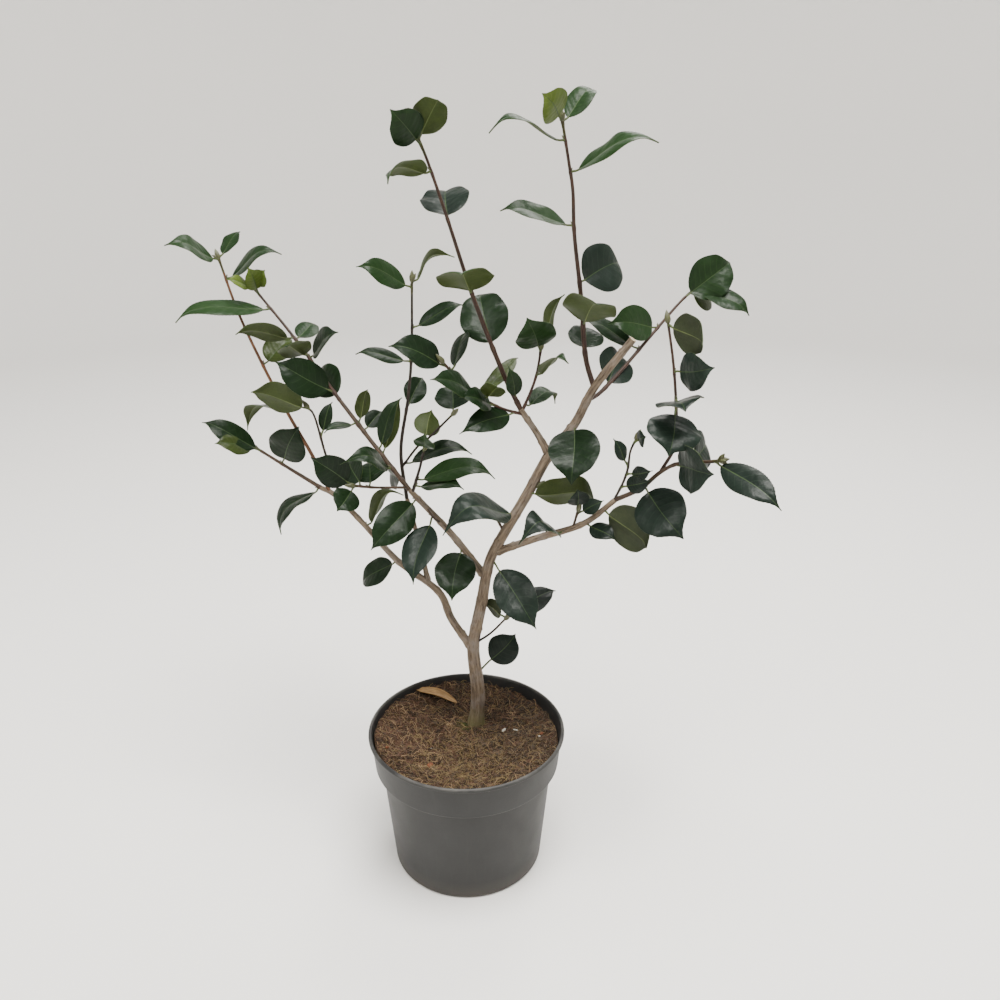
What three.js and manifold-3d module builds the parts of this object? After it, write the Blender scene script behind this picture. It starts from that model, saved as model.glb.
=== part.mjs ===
// Camellia shrub in its round nursery pot.
// Millimetres. X to the right and Y to the back of the plant's best side, Z up. The origin is the
// centre of the pot's flat underside, where the pot stands on the ground.
import * as THREE from 'three';
import { mergeVertices } from 'three/addons/utils/BufferGeometryUtils.js';
import Module from 'manifold-3d';

const wasm = await Module();
wasm.setup();

const GAP = 0.3; // between neighbouring solids

// Pot: a thin round plastic container with a deep collar and a rolled lip.
const RIM_RADIUS = 95;
const POT_HEIGHT = 145;
const COLLAR_RADIUS = 89.5; // outside, at the collar's foot
const COLLAR_FOOT = 110; // height of the collar's lower edge
const COLLAR_STEP = 4; // height of the slope from the wall out to the collar
const COLLAR_FLARE = 3; // added to that radius from the foot to the lip
const WALL_TOP_RADIUS = 83; // outside, just under the collar
const WALL_FOOT_RADIUS = 73.5;
const POT_WALL = 2.2;
const LIP_HEIGHT = 4;
const EDGE = 2; // height and depth of the small bevels of the lip and the foot
const FOOT_RADIUS = 24; // flat foot in the middle, level with the ring round the edge
const FOOT_RECESS_RADIUS = 55; // of the hollow between them, which the drain holes open into
const FOOT_RECESS = 3;
const DRAIN_HOLES = 8;
const DRAIN_RADIUS = 5;
const DRAIN_SIDES = 12;
const DRAIN_CIRCLE = 40;
const POT_SIDES = 40;

// Soil: fills the pot, flat round the trunk and rising toward the wall like a shallow dish.
const SOIL_TOP = 127;
const SOIL_EDGE = 134; // height at the wall
const SOIL_FLAT_RADIUS = 45;
const SOIL_SHOULDER = 0.35; // how much of the rise is reached halfway from there to the wall

// Wood.
const ROOT_FLARE = 2.2; // added to the trunk's radius at the soil
const FLARE_HEIGHT = 12;
const STEPS_PER_LEG = 2;

// Leaves: half width along the blade as shares of the greatest, from the stalk to the drawn-out tip.
const BLADE = [0, 0.60, 0.90, 1.0, 0.96, 0.80, 0.46];
const STALK_LENGTH = 7;
const STALK_RADIUS = 1.1;
const RIB_THICKNESS = [1.5, 0.8]; // at the blade's foot and at its tip
const BLADE_FOLD = 14; // degrees that each half of a blade is raised from flat
const BLADE_BOW = 0.09; // rise of a blade's arch as a share of its length
const BUD_LENGTH = 11;
const BUD_RADIUS = 2.2;
const BUD = [0.7, 1, 0.75]; // its rings, as shares of that radius
const BUD_SIDES = 6;
const STEM_SIDES = 6;
const TWIG_SIDES = 5;

// Every limb: the limb it springs from, the distance along that one, its diameters at both ends and
// its legs. A leg is [length, lean, reach]: lean in degrees from upright, to the right positive,
// and reach in degrees toward the front. END springs from the tip.
const END = Infinity;
const LIMBS = {
  trunk: { sides: 12, d: [13, 6.5], legs: [[37, 4, 3], [44, -5, 3], [20, 2, 3], [43, 11, 1],
    [26, 9, 0], [20, 14, 0], [21, 26, -3], [49, 29, -4], [41, 28, -3], [36, 37, 0],
    [40, 25, 6], [52, 35, 8]] },
  bough_left_low: { from: 'trunk', at: 87, sides: 8, d: [7.2, 4.4], legs: [[36, -36, -14],
    [31, -27, -17], [48, -53, -8], [51, -48, -23], [40, -54, -30], [20, -74, -31]] },
  bough_left_mid: { from: 'trunk', at: 168, sides: 8, d: [6.6, 5], legs: [[53, -43, -23],
    [57, -46, -17]] },
  bough_left_inner: { from: 'bough_left_low', at: 80, sides: 8, d: [4.4, 4], legs: [[42, -14, -21],
    [42, -17, -22]] },
  bough_centre: { from: 'trunk', at: 301, sides: 8, d: [6, 5], legs: [[24, -31, -13],
    [27, -32, 9]] },
  bough_right_low: { from: 'trunk', at: 194, sides: 8, d: [6.6, 4.8], legs: [[42, 66, 8],
    [49, 63, 18], [43, 42, 21]] },
};

// Every mass of leaves grows on one stem, with side twigs where it has them. A leaf is
// [distance along the stem, swing, toward, face, length, width, bow, stalk]. Swing is its direction
// in degrees from upright, clockwise as seen from the front, and toward is how far it points to the
// front. Face turns the blade about its own line: 0 shows the upper side to the front, 90 turns it
// up and 180 shows the underside. Bow and stalk are left out where they are the usual ones.
const MASSES = {
  foliage_left_tip: { from: 'bough_left_low', at: END, d: [4.2, 2.6], legs: [[45, -72, -33],
    [47, -71, -32]],
    leaves: [[2, -136, 27, 70, 60, 28, 0.22], [55, 28, 16, 5, 50, 40], [84, -57, 7, 50, 65, 26],
      [91, -66, 37, 60, 46, 24]] },
  foliage_far_left: { from: 'bough_left_low', at: 214, d: [4, 2.2], legs: [[41, -29, -23],
    [57, -31, -17], [87, -25, -11], [64, -18, -9]],
    leaves: [[95, -122, -24, 120, 60, 26, 0.3], [140, 50, -40, 30, 42, 30],
      [228, 65, -1, 62, 60, 26, 0.2], [247, -62, 46, 68, 58, 26, 0.18], [248, 34, -42, 40, 38, 18]] },
  foliage_left_inner: { from: 'bough_left_low', at: 197, d: [3, 2], legs: [[46, -16, -5],
    [40, -13, -5], [12, -38, -20]],
    leaves: [[66, 18, -18, 25, 36, 15], [96, -67, 14, 160, 56, 36]] },
  foliage_mid_left: { from: 'bough_left_mid', at: END, d: [4.6, 3.8], legs: [[53, -42, -22],
    [57, -42, -24]],
    twigs: [{ at: 3, d: [2.6, 2.2], legs: [[30, -87, 8], [22, -76, 22]],
      leaves: [[52, -45, 20, 20, 50, 30], [50, -136, 57, 10, 34, 26], [35, -18, -70, 0, 40, 36],
      [44, -45, -58, 0, 42, 28]] }],
    leaves: [[12, -101, -65, 0, 36, 28], [42, 18, -17, 165, 57, 15], [48, 23, -5, 40, 56, 20],
      [26, -60, 45, 68, 64, 24, 0.25], [72, 52, -56, 20, 34, 18], [80, 16, 10, 150, 40, 16],
      [82, -89, 45, 70, 38, 12]] },
  foliage_mid_top: { from: 'foliage_mid_left', at: END, d: [3.6, 2.2], legs: [[75, -39, -20],
    [63, -42, -19]],
    leaves: [[2, -45, -50, 5, 50, 34], [9, -57, 10, 32, 62, 36], [50, 46, 25, 60, 48, 30],
      [53, -33, 59, 170, 42, 32], [73, 52, -73, 35, 44, 22], [75, -81, 14, 140, 55, 28],
      [112, -92, 20, 64, 89, 26], [136, 33, 23, 20, 26, 18], [137, -56, 45, 60, 32, 14],
      [130, -8, 30, 30, 32, 20]] },
  foliage_mid_inner: { from: 'bough_left_mid', at: 106, d: [3, 2.2], legs: [[28, 17, 8],
    [17, 14, 20], [7, 19, 16]],
    leaves: [[8, 82, 24, 80, 52, 22], [15, 87, -2, 68, 74, 30, 0.16], [49, 6, 39, 10, 28, 20]] },
  foliage_inner_top: { from: 'bough_left_inner', at: END, d: [3.8, 2], legs: [[47, -6, -12],
    [50, 9, -10], [44, 6, -6], [66, 2, -4]],
    twigs: [{ at: 31, d: [2.4, 2], legs: [[32, 34, 22], [20, 45, 28], [28, 41, 21], [10, 40, 25]],
      leaves: [[6, 81, -5, 66, 65, 22, 0.16], [44, 14, -47, 170, 34, 26], [90, -7, -66, 0, 40, 34]] }],
    leaves: [[87, 31, -50, 0, 42, 22], [133, -76, 12, 62, 52, 18], [164, 66, -6, 55, 53, 22],
      [200, -62, 26, 48, 56, 26], [205, 61, -37, 120, 52, 18, 0.28]] },
  foliage_leader: { from: 'bough_centre', at: END, d: [4.6, 2.2], legs: [[37, -25, 3],
    [68, -21, 2], [66, -18, -2], [47, -19, -5], [20, -23, -5]],
    leaves: [[7, -12, 18, 15, 36, 15], [60, -16, -44, 0, 60, 44], [110, -15, 64, 170, 56, 48],
      [172, -8, -68, 0, 54, 42], [210, -99, 49, 110, 50, 28, 0.2], [232, -38, 41, 10, 42, 30],
      [237, 33, 42, 170, 46, 28], [236, 18, -45, 10, 32, 20]] },
  foliage_centre_right: { from: 'bough_centre', at: 48, d: [2.8, 2], legs: [[20, 24, -13],
    [13, 20, -18], [13, 12, -17], [12, 8, -12]],
    leaves: [[6, 103, -49, 85, 46, 18, 0.3], [34, 53, 41, 110, 42, 22, 0.2],
      [55, -21, 33, 0, 42, 36], [57, 25, -32, 130, 56, 20]] },
  foliage_centre_left: { from: 'bough_centre', at: 44, d: [2.8, 2], legs: [[25, -66, 25],
    [24, -53, 24], [31, -46, 14], [16, -38, 14]],
    leaves: [[10, -96, 42, 40, 62, 24], [31, -59, 43, 60, 46, 22], [52, -58, 39, 60, 56, 24],
      [45, 37, 46, 160, 30, 22], [50, 57, -56, 50, 72, 16, 0.02], [83, 25, -50, 60, 48, 20],
      [90, -64, 17, 45, 52, 28]] },
  foliage_upright: { from: 'trunk', at: 375, d: [4.8, 2.2], legs: [[29, -16, -18], [47, -6, 0],
    [54, -8, 0], [35, -4, 2], [23, -10, 0], [32, -11, 0]],
    leaves: [[32, 10, -62, 0, 36, 32], [56, 15, 60, 180, 54, 46], [92, 74, -47, 20, 58, 44],
      [137, -77, -1, 65, 62, 26], [180, 68, 21, 68, 74, 28, 0.14], [204, -81, 23, 80, 66, 24, 0.2],
      [219, -42, 50, 15, 38, 28], [218, 51, -37, 45, 46, 22, 0.2]] },
  foliage_right_top: { from: 'trunk', at: 361, d: [4, 2.2], legs: [[27, 82, -57], [34, 54, -40],
    [54, 50, -38], [48, 51, -39], [27, 58, -37]],
    leaves: [[36, 38, -55, 0, 48, 38], [90, -63, -9, 60, 60, 26], [122, -78, 30, 30, 57, 34],
      [178, 113, -42, 40, 40, 30], [170, 56, -20, 12, 58, 42], [186, 112, 18, 50, 58, 26]] },
  foliage_right_low: { from: 'bough_right_low', at: END, d: [4.4, 2.4], legs: [[25, 55, 20],
    [25, 38, 22], [25, 40, 43], [29, 66, 44], [10, 64, 38]],
    leaves: [[29, 135, 52, 10, 60, 44], [70, 72, 62, 15, 48, 40], [90, 68, -62, 0, 36, 34],
      [109, 115, 50, 35, 68, 26]] },
  foliage_right_mid: { from: 'foliage_right_low', at: 50, d: [3, 2], legs: [[28, 22, 6],
    [32, -2, -6], [34, -6, -10], [34, -9, -15]],
    leaves: [[58, -159, 53, 10, 48, 44], [65, -12, 84, 180, 44, 38], [87, 60, 56, 25, 46, 30],
      [125, 108, 63, 160, 48, 32]] },
  foliage_right_inner: { from: 'bough_right_low', at: 131, d: [2.4, 1.8], legs: [[22, 19, 16],
    [15, 12, 11], [16, 3, 11], [13, 19, 9]],
    leaves: [[30, 57, 46, 30, 30, 13], [38, -28, 8, 30, 30, 12], [16, 56, 40, 20, 34, 16],
      [62, 32, 54, 50, 20, 14]] },
  foliage_right_spur: { from: 'bough_right_low', at: 81, d: [2.6, 2], legs: [[22, 10, 18]],
    leaves: [[17, 51, 23, 30, 30, 14], [20, -4, 22, 10, 26, 19]] },
  sprig_trunk_low: { from: 'trunk', at: 95, d: [2.4, 1.8], legs: [[26, 44, 20], [26, 36, 16]],
    leaves: [[55, -76, -43, 165, 30, 20], [54, 72, -30, 60, 58, 28]] },
};

// Leaves that grow singly from the wood: [limb, then as above].
const SINGLE_LEAVES = {
  leaf_trunk_low: ['trunk', 58, 48, -20, 12, 56, 32, 0.09, 21],
  leaf_trunk_mid: ['trunk', 189, 139, 39, 15, 80, 38, 0.09, 15],
  leaf_trunk_arched: ['trunk', 240, -95, 30, 62, 76, 38, 0.38],
  leaf_trunk_side: ['trunk', 262, 94, 34, 150, 70, 38, 0.3],
  leaf_trunk_high: ['trunk', 338, -172, 49, 15, 60, 46],
  leaf_left_low_outer: ['bough_left_low', 161, 46, -2, 125, 50, 24, 0.26],
  leaf_left_low_inner: ['bough_left_low', 116, -128, -12, 60, 50, 30],
  leaf_left_mid_foot: ['bough_left_mid', 37, -166, 55, 10, 56, 38],
  leaf_left_mid_hanging: ['bough_left_mid', 78, -160, 48, 25, 72, 34, 0.09, 12],
  leaf_left_mid_outer: ['bough_left_mid', 99, -131, 35, 18, 66, 34],
  leaf_right_low_arched: ['bough_right_low', 71, -81, 45, 75, 58, 31, 0.38],
  leaf_right_low_broad: ['bough_right_low', 118, 117, 45, 165, 56, 42],
  leaf_right_low_small: ['bough_right_low', 94, 100, 45, 50, 36, 18],
};

const LOOKS = {
  pot: { color: '#5a5a58', roughness: 0.6, metalness: 0 },
  soil: { color: '#5f4630', roughness: 1, metalness: 0 },
  bark: { color: '#9a8570', roughness: 0.85, metalness: 0 },
  leaf: { color: '#2c4a2e', roughness: 0.35, metalness: 0 },
};

const rad = THREE.MathUtils.degToRad;
const group = new THREE.Group();
group.name = 'camellia_shrub';

function toManifold(geometry) {
  geometry.deleteAttribute('normal');
  geometry.deleteAttribute('uv');
  const merged = mergeVertices(geometry, 1e-4);
  const mesh = new wasm.Mesh({
    numProp: 3,
    vertProperties: new Float32Array(merged.attributes.position.array),
    triVerts: new Uint32Array(merged.index.array),
  });
  return new wasm.Manifold(mesh);
}

function fromRings(rings, start, end) {
  const points = [];
  const faces = [];
  const count = rings[0].length;
  for (const ring of rings) points.push(...ring);
  for (let i = 0; i + 1 < rings.length; i++) {
    for (let j = 0; j < count; j++) {
      const a = i * count + j;
      const b = i * count + ((j + 1) % count);
      faces.push(a, b, b + count, a, b + count, a + count);
    }
  }
  points.push(start, end);
  const last = (rings.length - 1) * count;
  for (let j = 0; j < count; j++) {
    const k = (j + 1) % count;
    faces.push(points.length - 2, k, j);
    faces.push(points.length - 1, last + j, last + k);
  }
  const flat = new Float32Array(points.flatMap((p) => [p.x, p.y, p.z]));
  const mesh = new wasm.Mesh({ numProp: 3, vertProperties: flat, triVerts: new Uint32Array(faces) });
  return new wasm.Manifold(mesh);
}

function heading(lean, reach) {
  const a = rad(lean);
  const b = rad(reach);
  return new THREE.Vector3(Math.cos(b) * Math.sin(a), -Math.sin(b), Math.cos(b) * Math.cos(a));
}

// The line of a limb: its legs end to end, eased round the bends.
function limbLine(start, legs) {
  const knots = [start.clone()];
  for (const [length, lean, reach] of legs) {
    knots.push(knots.at(-1).clone().addScaledVector(heading(lean, reach), length));
  }
  const before = knots[0].clone().multiplyScalar(2).sub(knots[1]);
  const after = knots.at(-1).clone().multiplyScalar(2).sub(knots.at(-2));
  const all = [before, ...knots, after];
  const line = [];
  for (let i = 1; i + 2 < all.length; i++) {
    const [a, b, c, d] = all.slice(i - 1, i + 3);
    for (let k = 0; k < STEPS_PER_LEG; k++) {
      const t = k / STEPS_PER_LEG;
      line.push(new THREE.Vector3()
        .addScaledVector(a, 0.5 * (-t + 2 * t ** 2 - t ** 3))
        .addScaledVector(b, 0.5 * (2 - 5 * t ** 2 + 3 * t ** 3))
        .addScaledVector(c, 0.5 * (t + 4 * t ** 2 - 3 * t ** 3))
        .addScaledVector(d, 0.5 * (-(t ** 2) + t ** 3)));
    }
  }
  line.push(knots.at(-1));
  return line;
}

function alongLine(line, distance) {
  let left = distance;
  for (let i = 0; i + 1 < line.length; i++) {
    const step = line[i].distanceTo(line[i + 1]);
    if (left <= step) return line[i].clone().lerp(line[i + 1], left / step);
    left -= step;
  }
  return line.at(-1).clone();
}

// A round tapering limb along a line, grown all over by `extra`.
function limbSolid(line, { d, sides, flare = 0, level = false }, extra = 0) {
  const total = line.slice(1).reduce((sum, p, i) => sum + p.distanceTo(line[i]), 0);
  const rings = [];
  let done = 0;
  let side = new THREE.Vector3(1, 0, 0);
  line.forEach((point, i) => {
    if (i > 0) done += point.distanceTo(line[i - 1]);
    const ahead = line[Math.min(i + 1, line.length - 1)];
    const behind = line[Math.max(i - 1, 0)];
    const along = level && i === 0 ? new THREE.Vector3(0, 0, 1) : ahead.clone().sub(behind).normalize();
    side = side.clone().addScaledVector(along, -side.dot(along)).normalize();
    const across = along.clone().cross(side);
    const taper = d[0] + (d[1] - d[0]) * (done / total);
    const radius = taper / 2 + flare * Math.exp(-done / FLARE_HEIGHT) + extra;
    rings.push(Array.from({ length: sides }, (_, j) => {
      const turn = (2 * Math.PI * j) / sides;
      return point.clone().addScaledVector(side, radius * Math.cos(turn))
        .addScaledVector(across, radius * Math.sin(turn));
    }));
  });
  const backward = line[0].clone().sub(line[1]).setLength(level ? 0 : extra);
  const forward = line.at(-1).clone().sub(line.at(-2)).setLength(extra);
  rings[0].forEach((p) => p.add(backward));
  rings.at(-1).forEach((p) => p.add(forward));
  return fromRings(rings, line[0].clone().add(backward), line.at(-1).clone().add(forward));
}

// One leaf: a stalk sunk in its stem that opens into a thin blade, folded at the midrib and bowed.
function leafSolid(root, row) {
  const [swing, toward, face, length, width, bow = BLADE_BOW, stalk = STALK_LENGTH] = row;
  const along = heading(swing, toward);
  const front = new THREE.Vector3(0, -1, 0);
  front.addScaledVector(along, -front.dot(along)).normalize();
  const upward = front.clone().cross(along).multiplyScalar(swing < 0 ? -1 : 1);
  const turn = rad(face);
  const normal = front.clone().multiplyScalar(Math.cos(turn)).addScaledVector(upward, Math.sin(turn));
  const across = along.clone().cross(normal);
  const blade = length - stalk;
  const middle = (t) => root.clone().addScaledVector(along, stalk + blade * t)
    .addScaledVector(normal, blade * bow * Math.sin(Math.PI * Math.max(t, 0)));
  const section = (rib, half, thick, fold) => {
    const out = half * Math.cos(rad(fold));
    const up = half * Math.sin(rad(fold));
    return [
      rib.clone().addScaledVector(normal, thick / 2),
      rib.clone().addScaledVector(across, out).addScaledVector(normal, up),
      rib.clone().addScaledVector(normal, -thick / 2),
      rib.clone().addScaledVector(across, -out).addScaledVector(normal, up),
    ];
  };
  const rings = [section(root, STALK_RADIUS, 2 * STALK_RADIUS, 0)];
  BLADE.forEach((share, i) => {
    const t = i / BLADE.length;
    const half = Math.max((share * width) / 2, STALK_RADIUS);
    const thick = THREE.MathUtils.lerp(...RIB_THICKNESS, t);
    rings.push(section(middle(t), half, thick, i > 0 ? BLADE_FOLD : 0));
  });
  return fromRings(rings, root, middle(1));
}

// The bud that ends a stem, sunk in its tip by a quarter of its length.
function budSolid(tip, along) {
  const side = new THREE.Vector3(0, 1, 0);
  side.addScaledVector(along, -side.dot(along)).normalize();
  const across = along.clone().cross(side);
  const rings = BUD.map((share, i) => Array.from({ length: BUD_SIDES }, (_, j) => {
    const turn = (2 * Math.PI * j) / BUD_SIDES;
    return tip.clone().addScaledVector(along, ((i - 0.5) * BUD_LENGTH) / 4)
      .addScaledVector(side, share * BUD_RADIUS * Math.cos(turn))
      .addScaledVector(across, share * BUD_RADIUS * Math.sin(turn));
  }));
  const back = tip.clone().addScaledVector(along, -0.25 * BUD_LENGTH);
  return fromRings(rings, back, tip.clone().addScaledVector(along, 0.7 * BUD_LENGTH));
}

// A node is the one whole piece of its solid, without the crumbs that a cut leaves.
function addNode(name, solid, look) {
  const whole = solid.decompose().sort((a, b) => b.volume() - a.volume())[0];
  const { vertProperties, triVerts, numProp } = whole.getMesh();
  const geometry = new THREE.BufferGeometry();
  const positions = new Float32Array((vertProperties.length / numProp) * 3);
  for (let i = 0; i * numProp < vertProperties.length; i++) {
    for (let k = 0; k < 3; k++) positions[i * 3 + k] = vertProperties[i * numProp + k];
  }
  geometry.setAttribute('position', new THREE.BufferAttribute(positions, 3));
  geometry.setIndex(new THREE.BufferAttribute(new Uint32Array(triVerts), 1));
  const flat = geometry.toNonIndexed();
  flat.computeVertexNormals();
  const mesh = new THREE.Mesh(flat, new THREE.MeshStandardMaterial(LOOKS[look]));
  mesh.name = name;
  group.add(mesh);
}

function turned(profile) {
  const points = profile.map(([radius, height]) => new THREE.Vector2(radius, height));
  const lathe = new THREE.LatheGeometry(points, POT_SIDES);
  lathe.rotateX(Math.PI / 2);
  return toManifold(lathe);
}

// Pot: one turned shell with its drain holes cut through the floor.
const floorTop = FOOT_RECESS + POT_WALL;
const floorRadius = THREE.MathUtils.mapLinear(floorTop, 0, COLLAR_FOOT, WALL_FOOT_RADIUS, WALL_TOP_RADIUS)
  - POT_WALL;
const wallTopInside = WALL_TOP_RADIUS - POT_WALL;
const wallTop = COLLAR_FOOT - COLLAR_STEP;
const collarFootInside = COLLAR_RADIUS - POT_WALL;
const collarTopInside = collarFootInside + COLLAR_FLARE;
const lipFoot = POT_HEIGHT - LIP_HEIGHT;
let pot = turned([
  [0, 0],
  [FOOT_RADIUS, 0],
  [FOOT_RADIUS + EDGE, FOOT_RECESS],
  [FOOT_RECESS_RADIUS, FOOT_RECESS],
  [FOOT_RECESS_RADIUS + EDGE, 0],
  [WALL_FOOT_RADIUS - EDGE, 0],
  [WALL_FOOT_RADIUS, EDGE],
  [WALL_TOP_RADIUS, wallTop],
  [COLLAR_RADIUS, COLLAR_FOOT],
  [COLLAR_RADIUS + COLLAR_FLARE, lipFoot],
  [RIM_RADIUS, lipFoot + EDGE / 2],
  [RIM_RADIUS, POT_HEIGHT - EDGE],
  [RIM_RADIUS - EDGE, POT_HEIGHT],
  [collarTopInside, POT_HEIGHT],
  [collarFootInside, COLLAR_FOOT + POT_WALL],
  [wallTopInside, wallTop + POT_WALL],
  [floorRadius, floorTop],
  [0, floorTop],
]);
for (let i = 0; i < DRAIN_HOLES; i++) {
  const turn = (2 * Math.PI * i) / DRAIN_HOLES;
  const hole = new THREE.CylinderGeometry(DRAIN_RADIUS, DRAIN_RADIUS, 3 * floorTop, DRAIN_SIDES);
  hole.rotateX(Math.PI / 2);
  hole.translate(DRAIN_CIRCLE * Math.cos(turn), DRAIN_CIRCLE * Math.sin(turn), FOOT_RECESS);
  pot = pot.subtract(toManifold(hole));
}
addNode('pot', pot, 'pot');

const soilRadius = THREE.MathUtils.mapLinear(SOIL_EDGE, COLLAR_FOOT + POT_WALL, POT_HEIGHT,
  collarFootInside, collarTopInside) - GAP;
const soil = turned([
  [0, floorTop + GAP],
  [floorRadius - GAP, floorTop + GAP],
  [wallTopInside - GAP, wallTop + POT_WALL],
  [collarFootInside - GAP, COLLAR_FOOT + POT_WALL + GAP],
  [soilRadius, SOIL_EDGE],
  [(SOIL_FLAT_RADIUS + soilRadius) / 2, SOIL_TOP + SOIL_SHOULDER * (SOIL_EDGE - SOIL_TOP)],
  [SOIL_FLAT_RADIUS, SOIL_TOP],
  [0, SOIL_TOP],
]);
addNode('soil', soil, 'soil');

// Wood: the trunk stands on the soil, and each bough springs from the limb before it.
const TRUNK_FOOT = new THREE.Vector3(8, 31, SOIL_TOP + GAP);
const lines = {};
const grown = {}; // each limb swollen by the gap, to cut its neighbours clear

function addLimb(name, limb) {
  const start = limb.from ? alongLine(lines[limb.from], limb.at) : TRUNK_FOOT;
  lines[name] = limbLine(start, limb.legs);
  const form = limb.from ? limb : { ...limb, flare: ROOT_FLARE, level: true };
  grown[name] = limbSolid(lines[name], form, GAP);
  return limbSolid(lines[name], form);
}

for (const [name, limb] of Object.entries(LIMBS)) {
  let solid = addLimb(name, limb);
  if (limb.from) solid = solid.subtract(grown[limb.from]);
  addNode(name, solid, 'bark');
}

for (const [name, mass] of Object.entries(MASSES)) {
  const neighbours = Object.values(grown);
  let solid = addLimb(name, { ...mass, sides: STEM_SIDES });
  const stems = [[lines[name], mass.leaves]];
  for (const twig of mass.twigs ?? []) {
    const line = limbLine(alongLine(lines[name], twig.at), twig.legs);
    solid = solid.add(limbSolid(line, { d: twig.d, sides: TWIG_SIDES }));
    stems.push([line, twig.leaves]);
  }
  for (const limb of neighbours) solid = solid.subtract(limb);
  const goesOn = Object.values(MASSES).some((other) => other.from === name && other.at === END);
  for (const [line, leaves] of stems) {
    for (const [at, ...leaf] of leaves) solid = solid.add(leafSolid(alongLine(line, at), leaf));
    if (goesOn && line === lines[name]) continue;
    solid = solid.add(budSolid(line.at(-1), line.at(-1).clone().sub(line.at(-2)).normalize()));
  }
  addNode(name, solid.subtract(grown[mass.from]), 'leaf');
}

for (const [name, [limb, at, ...leaf]] of Object.entries(SINGLE_LEAVES)) {
  addNode(name, leafSolid(alongLine(lines[limb], at), leaf).subtract(grown[limb]), 'leaf');
}

export default group;
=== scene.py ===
# Camellia shrub in its round nursery pot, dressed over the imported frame.
# Metres. X to the right and Y to the back of the plant's best side, Z up, the origin under the pot.
import math

import bmesh
import bpy
import numpy as np
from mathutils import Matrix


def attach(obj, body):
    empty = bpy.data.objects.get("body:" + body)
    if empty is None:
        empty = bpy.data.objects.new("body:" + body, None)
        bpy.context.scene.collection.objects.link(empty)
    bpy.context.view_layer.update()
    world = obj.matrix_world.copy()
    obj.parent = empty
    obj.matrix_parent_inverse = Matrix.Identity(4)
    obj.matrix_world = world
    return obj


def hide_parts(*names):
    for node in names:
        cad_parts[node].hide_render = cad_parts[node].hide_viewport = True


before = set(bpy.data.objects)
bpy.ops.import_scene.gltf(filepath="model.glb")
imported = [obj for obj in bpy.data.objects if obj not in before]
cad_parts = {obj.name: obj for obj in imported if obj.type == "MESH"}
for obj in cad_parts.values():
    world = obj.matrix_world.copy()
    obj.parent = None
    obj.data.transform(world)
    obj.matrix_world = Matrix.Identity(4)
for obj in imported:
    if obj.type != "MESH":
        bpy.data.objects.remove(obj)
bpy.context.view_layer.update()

MM = 0.001


# Studio: a sheet of matte paper that lies flat under the pot and curves up all round, lit by wide soft
# lamps overhead. The camera stands 75 cm in front of the pot and 68 cm up and looks down on it.
def linear(hex_colour):
    """An sRGB hex colour as linear red, green, blue and alpha."""
    parts = [int(hex_colour[i:i + 2], 16) / 255 for i in (1, 3, 5)]
    return tuple(c / 12.92 if c <= 0.04045 else ((c + 0.055) / 1.055) ** 2.4 for c in parts) + (1.0,)


def add(tree, kind, inputs=None, **settings):
    """Add a node to a tree. An input takes a value, or the socket of another node as a link."""
    made = tree.nodes.new(kind)
    for key, value in settings.items():
        setattr(made, key, value)
    for key, value in (inputs or {}).items():
        if isinstance(value, bpy.types.NodeSocket):
            tree.links.new(value, made.inputs[key])
        else:
            made.inputs[key].default_value = value
    return made


def new_material(name, preview):
    """An empty material of this name, and its tree."""
    material = bpy.data.materials.new(name)
    material.use_nodes = True
    material.diffuse_color = linear(preview)
    material.node_tree.nodes.clear()
    return material, material.node_tree


def coat(tree, colour, roughness, gloss=0.5, relief=None):
    """Close a material's tree with a surface of this colour, roughness, gloss and relief."""
    inputs = {"Base Color": colour, "Roughness": roughness, "Specular IOR Level": gloss}
    if relief is not None:
        inputs["Normal"] = relief
    surface = add(tree, "ShaderNodeBsdfPrincipled", inputs)
    add(tree, "ShaderNodeOutputMaterial", {"Surface": surface.outputs[0]})


def new_piece(name, points, faces, materials, slots=None):
    """A smooth-shaded mesh object at the origin. Points are in metres; slots give a material per face."""
    mesh = bpy.data.meshes.new(name)
    mesh.from_pydata(points, [], faces)
    for material in materials:
        mesh.materials.append(material)
    if slots is not None:
        mesh.polygons.foreach_set("material_index", slots)
    mesh.polygons.foreach_set("use_smooth", [True] * len(mesh.polygons))
    mesh.update()
    piece = bpy.data.objects.new(name, mesh)
    bpy.context.scene.collection.objects.link(piece)
    return piece


def turned(profile, segments):
    """Points and faces of a profile of (radius, height) turned round Z; a radius of 0 is one point."""
    points, rings, faces = [], [], []
    for radius, height in profile:
        first = len(points)
        count = 1 if radius == 0 else segments
        for j in range(count):
            turn = 2 * math.pi * j / segments
            points.append((radius * math.cos(turn), radius * math.sin(turn), height))
        rings.append([first + j % count for j in range(segments + 1)])
    for lower, upper in zip(rings, rings[1:]):
        for j in range(segments):
            corners = (lower[j], lower[j + 1], upper[j + 1], upper[j])
            corners = tuple(dict.fromkeys(corners))
            if len(corners) > 2:
                faces.append(corners)
    return points, faces


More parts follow.
